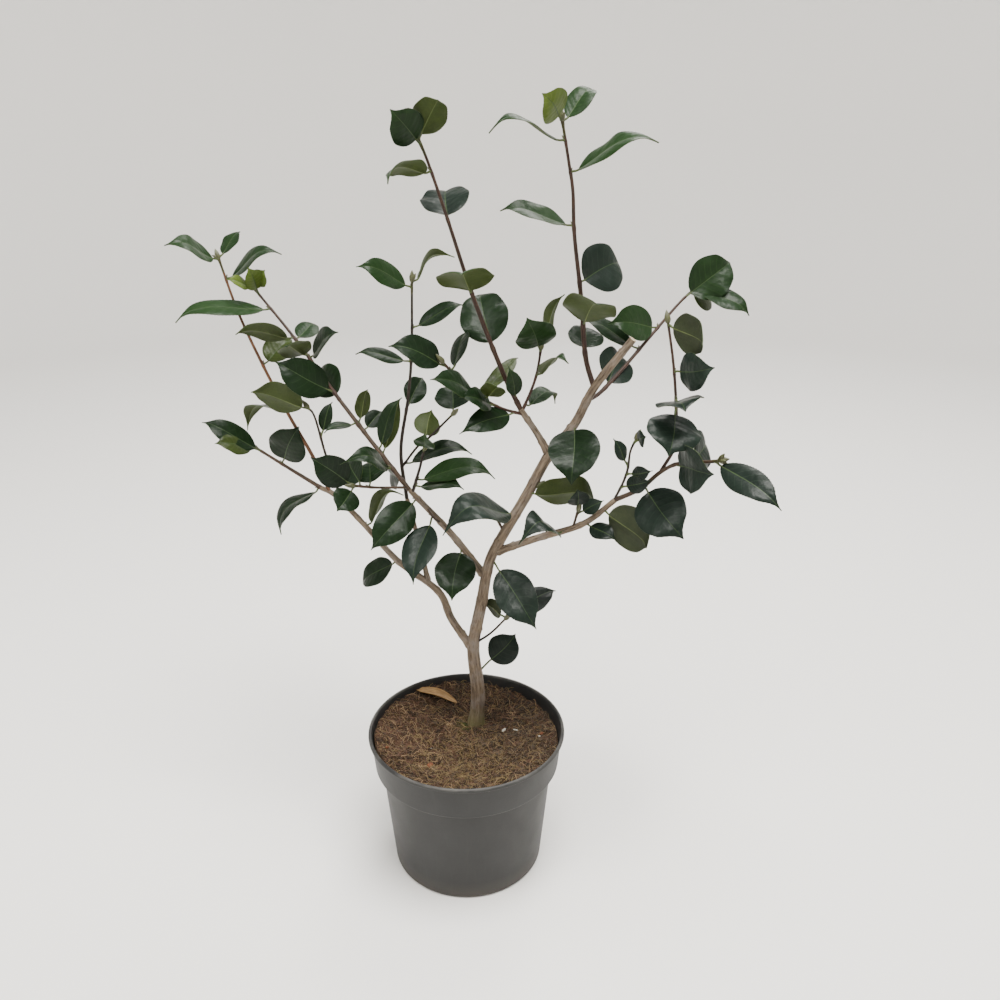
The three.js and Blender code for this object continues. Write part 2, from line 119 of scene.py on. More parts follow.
PAPER = "#efedea"
SWEEP_RADIUS = 2.6  # where the paper starts to rise
SWEEP_RISE = 0.9
SWEEP_TOP = 3.0
SWEEP_STEPS = 12
CAMERA_PLACE = (0.0325, -0.751, 0.684)
CAMERA_TURN = 68.1  # degrees from looking straight down
CAMERA_LENS = 33.2  # mm, before a sensor 36 mm wide
paper, tree = new_material("matte_paper", PAPER)
coat(tree, linear(PAPER), 0.9, 0.2)
sweep = [(0, 0), (0.4, 0), (1.2, 0), (SWEEP_RADIUS, 0)]
for step in range(1, SWEEP_STEPS + 1):
    turn = math.pi / 2 * step / SWEEP_STEPS
    sweep.append((SWEEP_RADIUS + SWEEP_RISE * math.sin(turn), SWEEP_RISE * (1 - math.cos(turn))))
sweep.append((SWEEP_RADIUS + SWEEP_RISE, SWEEP_TOP))
points, faces = turned(sweep, 96)
floor = new_piece("studio_floor", points, faces, [paper])

world = bpy.data.worlds.new("studio_air")
world.use_nodes = True
world.node_tree.nodes["Background"].inputs["Color"].default_value = linear("#eceded")
world.node_tree.nodes["Background"].inputs["Strength"].default_value = 0.8
bpy.context.scene.world = world
LAMPS = {  # place, size and power
    "lamp_overhead": ((0.3, -0.35, 2.4), 1.3, 118),
    "lamp_left": ((-1.3, -0.9, 1.9), 0.9, 22),
    "lamp_back": ((0.5, 1.4, 2.2), 1.0, 26),
}
for name, (place, size, power) in LAMPS.items():
    light = bpy.data.lights.new(name, "AREA")
    light.shape = "DISK"
    light.size = size
    light.energy = power
    light.color = linear("#fffdf8")[:3]
    lamp = bpy.data.objects.new(name, light)
    lamp.location = place
    aim = np.array([0, 0, 0.3]) - np.array(place)
    lamp.rotation_euler = (math.acos(-aim[2] / np.linalg.norm(aim)), 0,
                           math.atan2(aim[1], aim[0]) - math.pi / 2)
    bpy.context.scene.collection.objects.link(lamp)

lens = bpy.data.cameras.new("camera")
lens.sensor_width = 36
lens.lens = CAMERA_LENS
camera = bpy.data.objects.new("camera", lens)
camera.location = CAMERA_PLACE
camera.rotation_euler = (math.radians(CAMERA_TURN), 0, 0)
bpy.context.scene.collection.objects.link(camera)
bpy.context.scene.camera = camera


# Pot: a thin blow-moulded container of recycled polypropylene, one turned shell with a deep collar
# and a rolled lip. Eight drain holes open into the hollow of its underside.
POT_PROFILE = [  # radius and height in mm, from the middle of the underside out, up and back inside
    (0, 0), (24, 0), (26, 3), (55, 3), (57, 0), (71.5, 0), (73.5, 2), (83, 106), (89.5, 110),
    (92.5, 141), (95, 141.8), (95, 143.6), (93.8, 145), (92.0, 145), (91.0, 141), (87.8, 112),
    (81.3, 108), (71.75, 5.2), (0, 5.2),
]
POT_ROUNDING = 1.3  # mm, of every corner
POT_SEGMENTS = 128
DRAIN_HOLES = 8
DRAIN_RADIUS = 5
DRAIN_CIRCLE = 40


def rounded(profile, radius, steps=4):
    """A profile with each corner eased by a short curve."""
    eased = [profile[0]]
    for before, corner, after in zip(profile, profile[1:], profile[2:]):
        before, corner, after = (np.array(p, float) for p in (before, corner, after))
        back, ahead = before - corner, after - corner
        reach = min(radius, 0.45 * np.linalg.norm(back), 0.45 * np.linalg.norm(ahead))
        start = corner + back / np.linalg.norm(back) * reach
        end = corner + ahead / np.linalg.norm(ahead) * reach
        for k in range(steps + 1):
            t = k / steps
            eased.append(tuple((1 - t) ** 2 * start + 2 * t * (1 - t) * corner + t * t * end))
    return eased + [profile[-1]]


def plain_mesh(piece, name):
    """The piece as its modifiers leave it, as a new object with a plain mesh; the old one goes."""
    depsgraph = bpy.context.evaluated_depsgraph_get()
    mesh = bpy.data.meshes.new_from_object(piece.evaluated_get(depsgraph), depsgraph=depsgraph)
    mesh.name = name
    bpy.data.objects.remove(piece)
    made = bpy.data.objects.new(name, mesh)
    bpy.context.scene.collection.objects.link(made)
    return made


def noise(tree, place, size, detail, **more):
    """Noise over a place, with features of this size in the place's own unit."""
    inputs = {"Vector": place, "Scale": 1 / size, "Detail": detail, **more}
    return add(tree, "ShaderNodeTexNoise", inputs).outputs["Fac"]


def drawn_out(tree, place, share):
    """The place with its last coordinate shrunk to a share, so that a pattern is drawn out along it."""
    return add(tree, "ShaderNodeMapping", {"Vector": place, "Scale": (1, 1, share)}).outputs[0]


def ramp(tree, value, low, high, start, end):
    """A number that goes from start to end while the value goes from low to high."""
    inputs = {"Value": value, "From Min": low, "From Max": high, "To Min": start, "To Max": end}
    return add(tree, "ShaderNodeMapRange", inputs).outputs[0]


def calculate(tree, operation, *values):
    """The result of this operation on one to three numbers."""
    return add(tree, "ShaderNodeMath", dict(enumerate(values)), operation=operation).outputs[0]


def blend(tree, share, first, second):
    """A colour between two, each a hex colour or what another node gives."""
    first, second = (linear(c) if isinstance(c, str) else c for c in (first, second))
    return add(tree, "ShaderNodeMix", {0: share, 6: first, 7: second}, data_type="RGBA").outputs[2]


def bumps(tree, height, depth, strength):
    """A relief of this depth in metres, for a coat."""
    inputs = {"Height": height, "Distance": depth, "Strength": strength}
    return add(tree, "ShaderNodeBump", inputs).outputs[0]


# Polypropylene with recycled black pigment: matte dark grey, with a faint fleck, a pale band round
# the top of the lip that is partly scuffs and partly painted highlight, thin runs of dried water on the
# wall and soil dust where it meets the ground.
polypropylene, tree = new_material("recycled_polypropylene", "#5a5a58")
place = add(tree, "ShaderNodeTexCoord").outputs["Object"]
height = add(tree, "ShaderNodeSeparateXYZ", {0: place}).outputs["Z"]
cloud = noise(tree, place, 34 * MM, 5.0, Roughness=0.6)
fleck = noise(tree, place, 2.2 * MM, 4.0, Roughness=0.7)
runs = noise(tree, drawn_out(tree, place, 0.06), 5 * MM, 3.0)
streaked = blend(tree, ramp(tree, runs, 0.58, 0.80, 0, 0.07), blend(tree, fleck, "#151515", "#1f1f1f"),
                 "#4a4946")
dust = calculate(tree, "MULTIPLY", ramp(tree, height, 0, 0.02, 0.5, 0), cloud)
dusty = blend(tree, dust, streaked, "#5c544a")
# Painted highlight and scuffs: the top of the lip is paled in a band, broken up by the cloud.
lip = ramp(tree, height, 0.1425, 0.1448, 0, 0.9)
scuffs_and_highlight = calculate(tree, "MULTIPLY", lip, ramp(tree, cloud, 0.40, 0.66, 0, 1))
worn_and_highlit = blend(tree, scuffs_and_highlight, dusty, "#4d4b48")
grain = bumps(tree, noise(tree, place, 0.9 * MM, 2.0), 0.2 * MM, 0.25)
coat(tree, worn_and_highlit, ramp(tree, cloud, 0, 1, 0.46, 0.66), 0.36, grain)

profile = [(r * MM, z * MM) for r, z in rounded(POT_PROFILE, POT_ROUNDING)]
points, faces = turned(profile, POT_SEGMENTS)
shell = new_piece("pot_uncut", points, faces, [polypropylene])
drill_points, drill_faces = [], []
for hole in range(DRAIN_HOLES):
    turn = 2 * math.pi * hole / DRAIN_HOLES
    x, y = DRAIN_CIRCLE * MM * math.cos(turn), DRAIN_CIRCLE * MM * math.sin(turn)
    radius = DRAIN_RADIUS * MM
    pin, sides = turned([(0, -0.01), (radius, -0.01), (radius, 0.02), (0, 0.02)], 24)
    drill_faces += [tuple(len(drill_points) + k for k in side) for side in sides]
    drill_points += [(px + x, py + y, pz) for px, py, pz in pin]
drill = new_piece("drill", drill_points, drill_faces, [polypropylene])
cut = shell.modifiers.new("drain holes", "BOOLEAN")
cut.operation = "DIFFERENCE"
cut.solver = "EXACT"
cut.object = drill
pot = plain_mesh(shell, "pot_shell")
bpy.data.objects.remove(drill)
pot.data.set_sharp_from_angle(angle=math.radians(50))
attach(pot, "root")
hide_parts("pot")


# Soil: peat and coir potting mix that fills the pot, flat round the trunk and banked up against the
# wall, most on the left and at the back. Moss has started on it at the foot of the trunk.
SOIL_OUTLINE = [(0, 5.5), (71.45, 5.5), (80.9, 108.3), (87.2, 112.5)]  # mm, below the surface
SOIL_TOP = 127
SOIL_BANK = {"right": 3, "back": 8, "left": 12, "front": 7}  # mm that it rises at the wall
SOIL_FLAT_RADIUS = 40
SOIL_RADIUS = 89.3
SOIL_RINGS = 54
SOIL_SEGMENTS = 150
SOIL_SEED = 11
TRUNK_FOOT = np.array([8, 31, 127.3])
LUMPS = [(61, 1.1), (27, 0.9), (11, 0.7), (5.2, 0.35)]  # across and half height of each size, mm
BARE_SPOT = (-2, 25)  # mm: a hollow beside the foot of the trunk, where few fibres lie
HOLLOW_DEPTH = 3.5
HOLLOW_RADIUS = 5  # mm, where the hollow is six tenths as deep


def soil_height(x, y):
    """Height of the soil in mm at a place in mm."""
    radius = np.hypot(x, y)
    share = np.clip((radius - SOIL_FLAT_RADIUS) / (SOIL_RADIUS - SOIL_FLAT_RADIUS), 0, 1)
    toward_x, toward_y = x / np.maximum(radius, 1), y / np.maximum(radius, 1)
    bank = (np.maximum(toward_x, 0) ** 2 * SOIL_BANK["right"]
            + np.maximum(-toward_x, 0) ** 2 * SOIL_BANK["left"]
            + np.maximum(toward_y, 0) ** 2 * SOIL_BANK["back"]
            + np.maximum(-toward_y, 0) ** 2 * SOIL_BANK["front"])
    level = SOIL_TOP + bank * share ** 1.6
    rng = np.random.default_rng(SOIL_SEED)
    for size, half in LUMPS:
        lump = 0
        for _ in range(5):
            turn, phase = rng.uniform(0, 2 * np.pi, 2)
            wave = rng.uniform(0.75, 1.3) * 2 * np.pi / size
            lump = lump + np.sin(wave * (x * np.cos(turn) + y * np.sin(turn)) + phase)
        level = level + half * lump / 2.6
    away = (x - BARE_SPOT[0]) ** 2 + (y - BARE_SPOT[1]) ** 2
    return level - HOLLOW_DEPTH * np.exp(-away / (2 * HOLLOW_RADIUS ** 2))


# Peat mixed with coir dust: dark crumbs, browner in patches, and green where the moss is.
peat, tree = new_material("peat_and_coir", "#5f4630")
place = add(tree, "ShaderNodeTexCoord").outputs["Object"]
crumb = noise(tree, place, 1.6 * MM, 5.0, Roughness=0.75)
patch = noise(tree, place, 22 * MM, 3.0)
mixed = blend(tree, patch, blend(tree, crumb, "#17110c", "#42342a"), "#41331f")
mossy_spot = tuple((TRUNK_FOOT - [7, 3, 0]) * MM)
from_trunk = add(tree, "ShaderNodeVectorMath", {0: place, 1: mossy_spot}, operation="DISTANCE")
near = ramp(tree, from_trunk.outputs["Value"], 0.006, 0.020, 1.3, 0)
mossy = blend(tree, calculate(tree, "MULTIPLY", near, crumb), mixed, "#3c4a20")
coat(tree, mossy, 0.95, 0.15, bumps(tree, crumb, 1.2 * MM, 0.9))

soil_surface = [(SOIL_RADIUS * (1 - k / SOIL_RINGS), SOIL_TOP) for k in range(SOIL_RINGS)] + [(0, SOIL_TOP)]
points, faces = turned(SOIL_OUTLINE + soil_surface, SOIL_SEGMENTS)
points = np.array(points)
top = points[:, 2] >= SOIL_TOP
points[top, 2] = soil_height(points[top, 0], points[top, 1])
soil = new_piece("potting_soil", points * MM, faces, [peat])
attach(soil, "root")
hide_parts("soil")


# Coir: loose coconut fibres that lie tangled all over the soil, red-brown on the left, golden at the
# front, greyer on the right, with dark hairs and pale coarse strands between. The dark hairs stand
# partly for real dark fibre and partly for painted shade in the tangle. Each colour is one piece.
COIR = {  # fibres per square metre, length, thickness and curl in mm, roughness of the lie, colours,
    # and where it lies thickest, how far from there it thins out, mm, and the share it keeps elsewhere
    "coir_brown": (190000, 12, 0.32, 1.3, 2.6, "#2f1f17", "#7d5c4a", (-62, 8), 52, 0.42),
    "coir_golden": (150000, 13, 0.32, 1.5, 3.4, "#4c3c25", "#9c875e", (2, -40), 40, 0.2),
    "coir_grey": (160000, 12, 0.32, 1.3, 2.8, "#2a231b", "#756655", (66, 6), 50, 0.3),
    # Dark hairs: partly real dark fibre, partly painted shade among the fibres.
    "coir_dark": (110000, 11, 0.46, 1.3, 2.4, "#0f0b08", "#221912", (30, 40), 60, 0.6),
    "coir_pale": (26000, 9, 0.42, 0.4, 3.8, "#7d6347", "#a98e6d", (-48, -6), 55, 0.35),
}
BARE_RADIUS = 7  # mm, of the bare spot
FIBRE_MARGIN = 0.8  # mm that the fibres keep from the edge of the soil
FIBRE_POINTS = 6
FIBRE_SIDES = 3


def new_tree(name, numbers):
    """A geometry node tree with a geometry, a material and these named numbers as inputs."""
    tree = bpy.data.node_groups.new(name, "GeometryNodeTree")
    tree.interface.new_socket("Geometry", in_out="INPUT", socket_type="NodeSocketGeometry")
    tree.interface.new_socket("Finish", in_out="INPUT", socket_type="NodeSocketMaterial")
    for number in numbers:
        kind = "NodeSocketInt" if number == "Seed" else "NodeSocketFloat"
        tree.interface.new_socket(number, in_out="INPUT", socket_type=kind)
    tree.interface.new_socket("Geometry", in_out="OUTPUT", socket_type="NodeSocketGeometry")
    return tree


def grow(carrier, tree, values, name):
    """What a tree makes on a carrier, as a new object with a plain mesh; the carrier goes."""
    modifier = carrier.modifiers.new(tree.name, "NODES")
    modifier.node_group = tree
    for item in tree.interface.items_tree:
        if item.in_out == "INPUT" and item.name in values:
            modifier[item.identifier] = values[item.name]
    carrier.update_tag()
    return plain_mesh(carrier, name)


lay = new_tree("lay of fibres", ["Density", "Length", "Thickness", "Curl", "Lift", "Seed"])
given = add(lay, "NodeGroupInput")
share_here = add(lay, "GeometryNodeInputNamedAttribute", {"Name": "share"}, data_type="FLOAT")
density_here = calculate(lay, "MULTIPLY", given.outputs["Density"], share_here.outputs[0])
spots = add(lay, "GeometryNodeDistributePointsOnFaces", {
    "Mesh": given.outputs["Geometry"], "Density": density_here, "Seed": given.outputs["Seed"]})
strand = add(lay, "GeometryNodeCurvePrimitiveLine", {"Start": (-0.5, 0, 0), "End": (0.5, 0, 0)})
strand = add(lay, "GeometryNodeResampleCurve", {"Curve": strand.outputs[0], "Count": FIBRE_POINTS})
turn = add(lay, "FunctionNodeRandomValue", {0: (0, 0, 0), 1: (0, 0, 2 * math.pi),
                                            "Seed": given.outputs["Seed"]}, data_type="FLOAT_VECTOR")
share = add(lay, "FunctionNodeRandomValue", {2: 0.45, 3: 1.25, "Seed": given.outputs["Seed"]},
            data_type="FLOAT")
size = calculate(lay, "MULTIPLY", share.outputs[1], given.outputs["Length"])
strewn = add(lay, "GeometryNodeInstanceOnPoints", {
    "Points": spots.outputs[0], "Instance": strand.outputs[0], "Rotation": turn.outputs[0],
    "Scale": size})
loose = add(lay, "GeometryNodeRealizeInstances", {0: strewn.outputs[0]})
which = add(lay, "GeometryNodeCurveOfPoint")
own = calculate(lay, "MULTIPLY", which.outputs[0], 3.7)
here = add(lay, "GeometryNodeInputPosition")
bend = add(lay, "ShaderNodeTexNoise", {"Vector": here.outputs[0], "W": own, "Scale": 1 / (13 * MM),
                                       "Detail": 1.5}, noise_dimensions="4D")
centred = add(lay, "ShaderNodeVectorMath", {0: bend.outputs["Color"], 1: (0.5, 0.5, 0.5)},
              operation="SUBTRACT")
pull = calculate(lay, "MULTIPLY", given.outputs["Curl"], 4.0)
offset = add(lay, "ShaderNodeVectorMath", {0: centred.outputs[0], "Scale": pull}, operation="SCALE")
curled = add(lay, "GeometryNodeSetPosition", {"Geometry": loose.outputs[0], "Offset": offset.outputs[0]})
level = add(lay, "ShaderNodeVectorMath", {0: here.outputs[0], 1: (1, 1, 0)}, operation="MULTIPLY")
reach = add(lay, "ShaderNodeVectorMath", {0: level.outputs[0]}, operation="LENGTH")
keep_in = calculate(lay, "DIVIDE", (SOIL_RADIUS - FIBRE_MARGIN) * MM, reach.outputs["Value"])
keep_in = calculate(lay, "MINIMUM", keep_in, 1.0)
inside = add(lay, "ShaderNodeVectorMath", {0: level.outputs[0], "Scale": keep_in}, operation="SCALE")
above = add(lay, "ShaderNodeVectorMath", {0: inside.outputs[0], 1: (0, 0, 0.2)}, operation="ADD")
ground = add(lay, "GeometryNodeRaycast", {"Target Geometry": given.outputs["Geometry"],
                                          "Source Position": above.outputs[0],
                                          "Ray Direction": (0, 0, -1), "Ray Length": 0.3})
lift = add(lay, "ShaderNodeTexNoise", {"Vector": here.outputs[0], "W": own, "Scale": 1 / (9 * MM),
                                       "Detail": 0.0}, noise_dimensions="4D")
lift = calculate(lay, "SUBTRACT", lift.outputs[0], 0.40)
lift = calculate(lay, "MULTIPLY", lift, given.outputs["Lift"])
raised = add(lay, "ShaderNodeCombineXYZ", {"Z": lift})
resting = add(lay, "ShaderNodeVectorMath", {0: ground.outputs["Hit Position"], 1: raised.outputs[0]},
              operation="ADD")
laid = add(lay, "GeometryNodeSetPosition", {"Geometry": curled.outputs[0], "Position": resting.outputs[0]})
round_section = add(lay, "GeometryNodeCurvePrimitiveCircle", {"Resolution": FIBRE_SIDES,
                                                              "Radius": given.outputs["Thickness"]})
solid = add(lay, "GeometryNodeCurveToMesh", {
    "Curve": laid.outputs[0], "Profile Curve": round_section.outputs[0], "Fill Caps": True})
finished = add(lay, "GeometryNodeSetMaterial", {"Geometry": solid.outputs[0],
                                                "Material": given.outputs["Finish"]})
add(lay, "NodeGroupOutput", {0: finished.outputs[0]})

points, bed_faces = turned(soil_surface, SOIL_SEGMENTS)
points = np.array(points)
points[:, 2] = soil_height(points[:, 0], points[:, 1])
bare = np.hypot(points[:, 0] - BARE_SPOT[0], points[:, 1] - BARE_SPOT[1])
for number, (name, row) in enumerate(COIR.items()):
    density, length, thickness, curl, lie, shade, light_shade, thickest, spread, elsewhere = row
    # Coconut husk fibre: dull and dry, its colour changing along each strand.
    husk, tree = new_material(name.replace("coir", "coconut_fibre"), light_shade)
    place = add(tree, "ShaderNodeTexCoord").outputs["Object"]
    change = noise(tree, place, 6 * MM, 3.0)
    coat(tree, blend(tree, change, shade, light_shade), 0.8, 0.3)
    bed = new_piece("bed", points * MM, bed_faces, [husk])
    away = np.hypot(points[:, 0] - thickest[0], points[:, 1] - thickest[1])
    share = elsewhere + (1 - elsewhere) * np.exp(-(away / spread) ** 2)
    share = share * (1 - 0.9 * np.exp(-(bare / BARE_RADIUS) ** 2))
    bed.data.attributes.new("share", "FLOAT", "POINT").data.foreach_set("value", share)
    coir = grow(bed, lay, {"Density": density, "Length": length * MM, "Thickness": thickness / 2 * MM,
                           "Curl": curl * MM, "Lift": 4 * lie * MM, "Seed": number + 1, "Finish": husk}, name)
    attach(coir, "root")


# Wood: trunk and boughs of camellia, smooth grey-tan bark drawn into fine lengthwise wrinkles, with
# collars at the forks and scarred swellings where leaves once sat. The trunk's tip is a pruned cut.
END = math.inf
ROOT_FLARE = 2.2
FLARE_HEIGHT = 12
LIMBS = {  # limb it springs from, distance along that, diameters, legs of (length, lean, reach)
    "trunk": {"d": (13, 6.5), "legs": [
        (37, 4, 3), (44, -5, 3), (20, 2, 3), (43, 11, 1), (26, 9, 0), (20, 14, 0), (21, 26, -3),
        (49, 29, -4), (41, 28, -3), (36, 37, 0), (40, 25, 6), (52, 35, 8)]},
    "bough_left_low": {"from": "trunk", "at": 87, "d": (7.2, 4.4), "legs": [
        (36, -36, -14), (31, -27, -17), (48, -53, -8), (51, -48, -23), (40, -54, -30), (20, -74, -31)]},
    "bough_left_mid": {"from": "trunk", "at": 168, "d": (6.6, 5), "legs": [
        (53, -43, -23), (57, -46, -17)]},
    "bough_left_inner": {"from": "bough_left_low", "at": 80, "d": (4.4, 4), "legs": [
        (42, -14, -21), (42, -17, -22)]},
    "bough_centre": {"from": "trunk", "at": 301, "d": (6, 5), "legs": [(24, -31, -13), (27, -32, 9)]},
    "bough_right_low": {"from": "trunk", "at": 194, "d": (6.6, 4.8), "legs": [
        (42, 66, 8), (49, 63, 18), (43, 42, 21)]},
}
WOOD_STEP = 1.3  # mm between the rings of the bark
WOOD_SIDES = 32
NODE_SPACING = 31  # mm between old leaf scars
COLLAR = 1.3  # mm that a bough swells where it leaves its parent
BARK_FOLDS = 16  # lengthwise folds round a limb
WOOD_SEED = 100
SEATED_DEPTHS = (5, 2.5)  # mm that the trunk goes on below the soil

limbs = {}  # every limb by name: its knots, its line as the source measures along it, and more


def heading(lean, reach):
    """Direction of a lean from upright, to the right, and of a reach to the front, in degrees."""
    a, b = math.radians(lean), math.radians(reach)
    return np.array([math.cos(b) * math.sin(a), -math.sin(b), math.cos(b) * math.cos(a)])


def on_curve(knots, u):
    """Point of the eased line through the knots at u legs from its foot."""
    leg = int(min(max(math.floor(u), 0), len(knots) - 4))
    t = u - leg
    a, b, c, d = knots[leg:leg + 4]
    return 0.5 * (2 * b + (c - a) * t + (2 * a - 5 * b + 4 * c - d) * t ** 2
                  + (3 * b - a - 3 * c + d) * t ** 3)


def add_limb(name, start, legs, diameters):
    """Record a limb's line: its legs end to end, eased round the bends."""
    knots = [start]
    for length, lean, reach in legs:
        knots.append(knots[-1] + length * heading(lean, reach))
    knots = [2 * knots[0] - knots[1]] + knots + [2 * knots[-1] - knots[-2]]
    line = np.array([on_curve(knots, k / 2) for k in range(2 * len(legs) + 1)])
    gone = np.concatenate([[0], np.cumsum(np.linalg.norm(np.diff(line, axis=0), axis=1))])
    limbs[name] = {"knots": knots, "gone": gone, "legs": len(legs), "d": diameters}


def place_on(name, distance):
    """Point and direction of a limb at a distance along it, in mm, and its radius there."""
    limb = limbs[name]
    distance = min(distance, limb["gone"][-1])
    u = np.interp(distance, limb["gone"], np.arange(len(limb["gone"])) / 2)
    ahead = on_curve(limb["knots"], min(u + 0.02, limb["legs"]))
    behind = on_curve(limb["knots"], max(u - 0.02, 0))
    share = distance / limb["gone"][-1]
    radius = (limb["d"][0] + (limb["d"][1] - limb["d"][0]) * share) / 2
    return on_curve(limb["knots"], u), (ahead - behind) / np.linalg.norm(ahead - behind), radius


def fine_line(name, step):
    """Points along a limb about a step apart, and their distances from its foot, in mm."""
    limb = limbs[name]
    many = np.array([on_curve(limb["knots"], u) for u in np.linspace(0, limb["legs"], 40 * limb["legs"])])
    gone = np.concatenate([[0], np.cumsum(np.linalg.norm(np.diff(many, axis=0), axis=1))])
    wanted = np.linspace(0, gone[-1], max(int(gone[-1] / step), 3))
    return np.stack([np.interp(wanted, gone, many[:, k]) for k in range(3)], axis=1), wanted


def tube(path, radii, sides):
    """A closed round limb along a path. Radii are one per ring, or one per ring and side. The grain
    is a place in the straightened limb, round its axis and along it, so that streaks follow its bends."""
    path = np.asarray(path)
    radii = np.asarray(radii, float)
    if radii.ndim == 1:
        radii = radii[:, None]
    along = np.gradient(path, axis=0)
    along /= np.linalg.norm(along, axis=1)[:, None]
    turn = 2 * np.pi * np.arange(sides) / sides
    gone = np.concatenate([[0], np.cumsum(np.linalg.norm(np.diff(path, axis=0), axis=1))])
    side = np.array([1.0, 0, 0]) if abs(along[0][0]) < 0.9 else np.array([0, 1.0, 0])
    points, grain = [], []
    for i, centre in enumerate(path):
        side = side - along[i] * side.dot(along[i])
        side /= np.linalg.norm(side)
        across = np.cross(along[i], side)
        reach = radii[i] * np.ones(sides)
        outward = np.cos(turn)[:, None] * side + np.sin(turn)[:, None] * across
        points.append(centre + reach[:, None] * outward)
        grain.append(np.stack([reach * np.cos(turn), reach * np.sin(turn), np.full(sides, gone[i])], axis=1))
    faces = [tuple(reversed(range(sides)))]
    for i in range(len(path) - 1):
        for j in range(sides):
            k = (j + 1) % sides
            faces.append((i * sides + j, i * sides + k, (i + 1) * sides + k, (i + 1) * sides + j))
    faces.append(tuple((len(path) - 1) * sides + j for j in range(sides)))
    return np.concatenate(points), faces, np.concatenate(grain)


def joined_piece(name, parts, materials, attribute):
    """One object from parts of (points in mm, faces, a vector per point, a material's name per face)."""
    used = sorted({slot for part in parts for slot in set(part[3])}, key=list(materials).index)
    points, faces, vectors, slots, first = [], [], [], [], 0
    for part_points, part_faces, part_vectors, part_slots in parts:
        points.append(part_points)
        vectors.append(part_vectors)
        faces += [tuple(first + k for k in face) for face in part_faces]
        slots += [used.index(slot) for slot in part_slots]
        first += len(part_points)
    piece = new_piece(name, np.concatenate(points) * MM, faces, [materials[slot] for slot in used], slots)
    place = piece.data.attributes.new(attribute, "FLOAT_VECTOR", "POINT")
    place.data.foreach_set("vector", np.concatenate(vectors).ravel())
    piece.data.set_sharp_from_angle(angle=math.radians(55))
    return piece


# Camellia bark: thin, dry and matte. Pale and dark streaks and hairline wrinkles run along the limb;
# it is green and damp at the soil. The lengthwise pattern is drawn 10 times as long as it is wide.
bark, tree = new_material("camellia_bark", "#9a8570")
place = add(tree, "ShaderNodeTexCoord").outputs["Object"]
height = add(tree, "ShaderNodeSeparateXYZ", {0: place}).outputs["Z"]
along_limb = add(tree, "ShaderNodeAttribute", attribute_name="grain").outputs["Vector"]
lengthwise = drawn_out(tree, along_limb, 0.1)
streak = noise(tree, lengthwise, 1.9, 5.0, Roughness=0.65)
wrinkle = noise(tree, lengthwise, 0.8, 3.0, Distortion=0.3)
patch = noise(tree, place, 16 * MM, 4.0, Roughness=0.6)
tan = blend(tree, ramp(tree, streak, 0.34, 0.66, 0, 1), "#43372c", "#786958")
mottled = blend(tree, ramp(tree, patch, 0.45, 0.70, 0, 0.55), tan, "#77706a")
cracked = blend(tree, ramp(tree, wrinkle, 0.30, 0.42, 0.75, 0), mottled, "#281e16")
damp = calculate(tree, "MULTIPLY", ramp(tree, height, 0.127, 0.152, 1.5, 0), patch)
damped = blend(tree, damp, cracked, "#595632")
folds = calculate(tree, "ADD", streak, wrinkle)
coat(tree, damped, 0.78, 0.3, bumps(tree, folds, 0.5 * MM, 0.7))

# Cut wood, dried in the air: pale, dull and split along the rays.
cut_wood, tree = new_material("dried_cut_wood", "#b3a38a")
place = add(tree, "ShaderNodeTexCoord").outputs["Object"]
rays = noise(tree, place, 0.9 * MM, 3.0)
coat(tree, blend(tree, rays, "#75634d", "#c3b295"), 0.85)

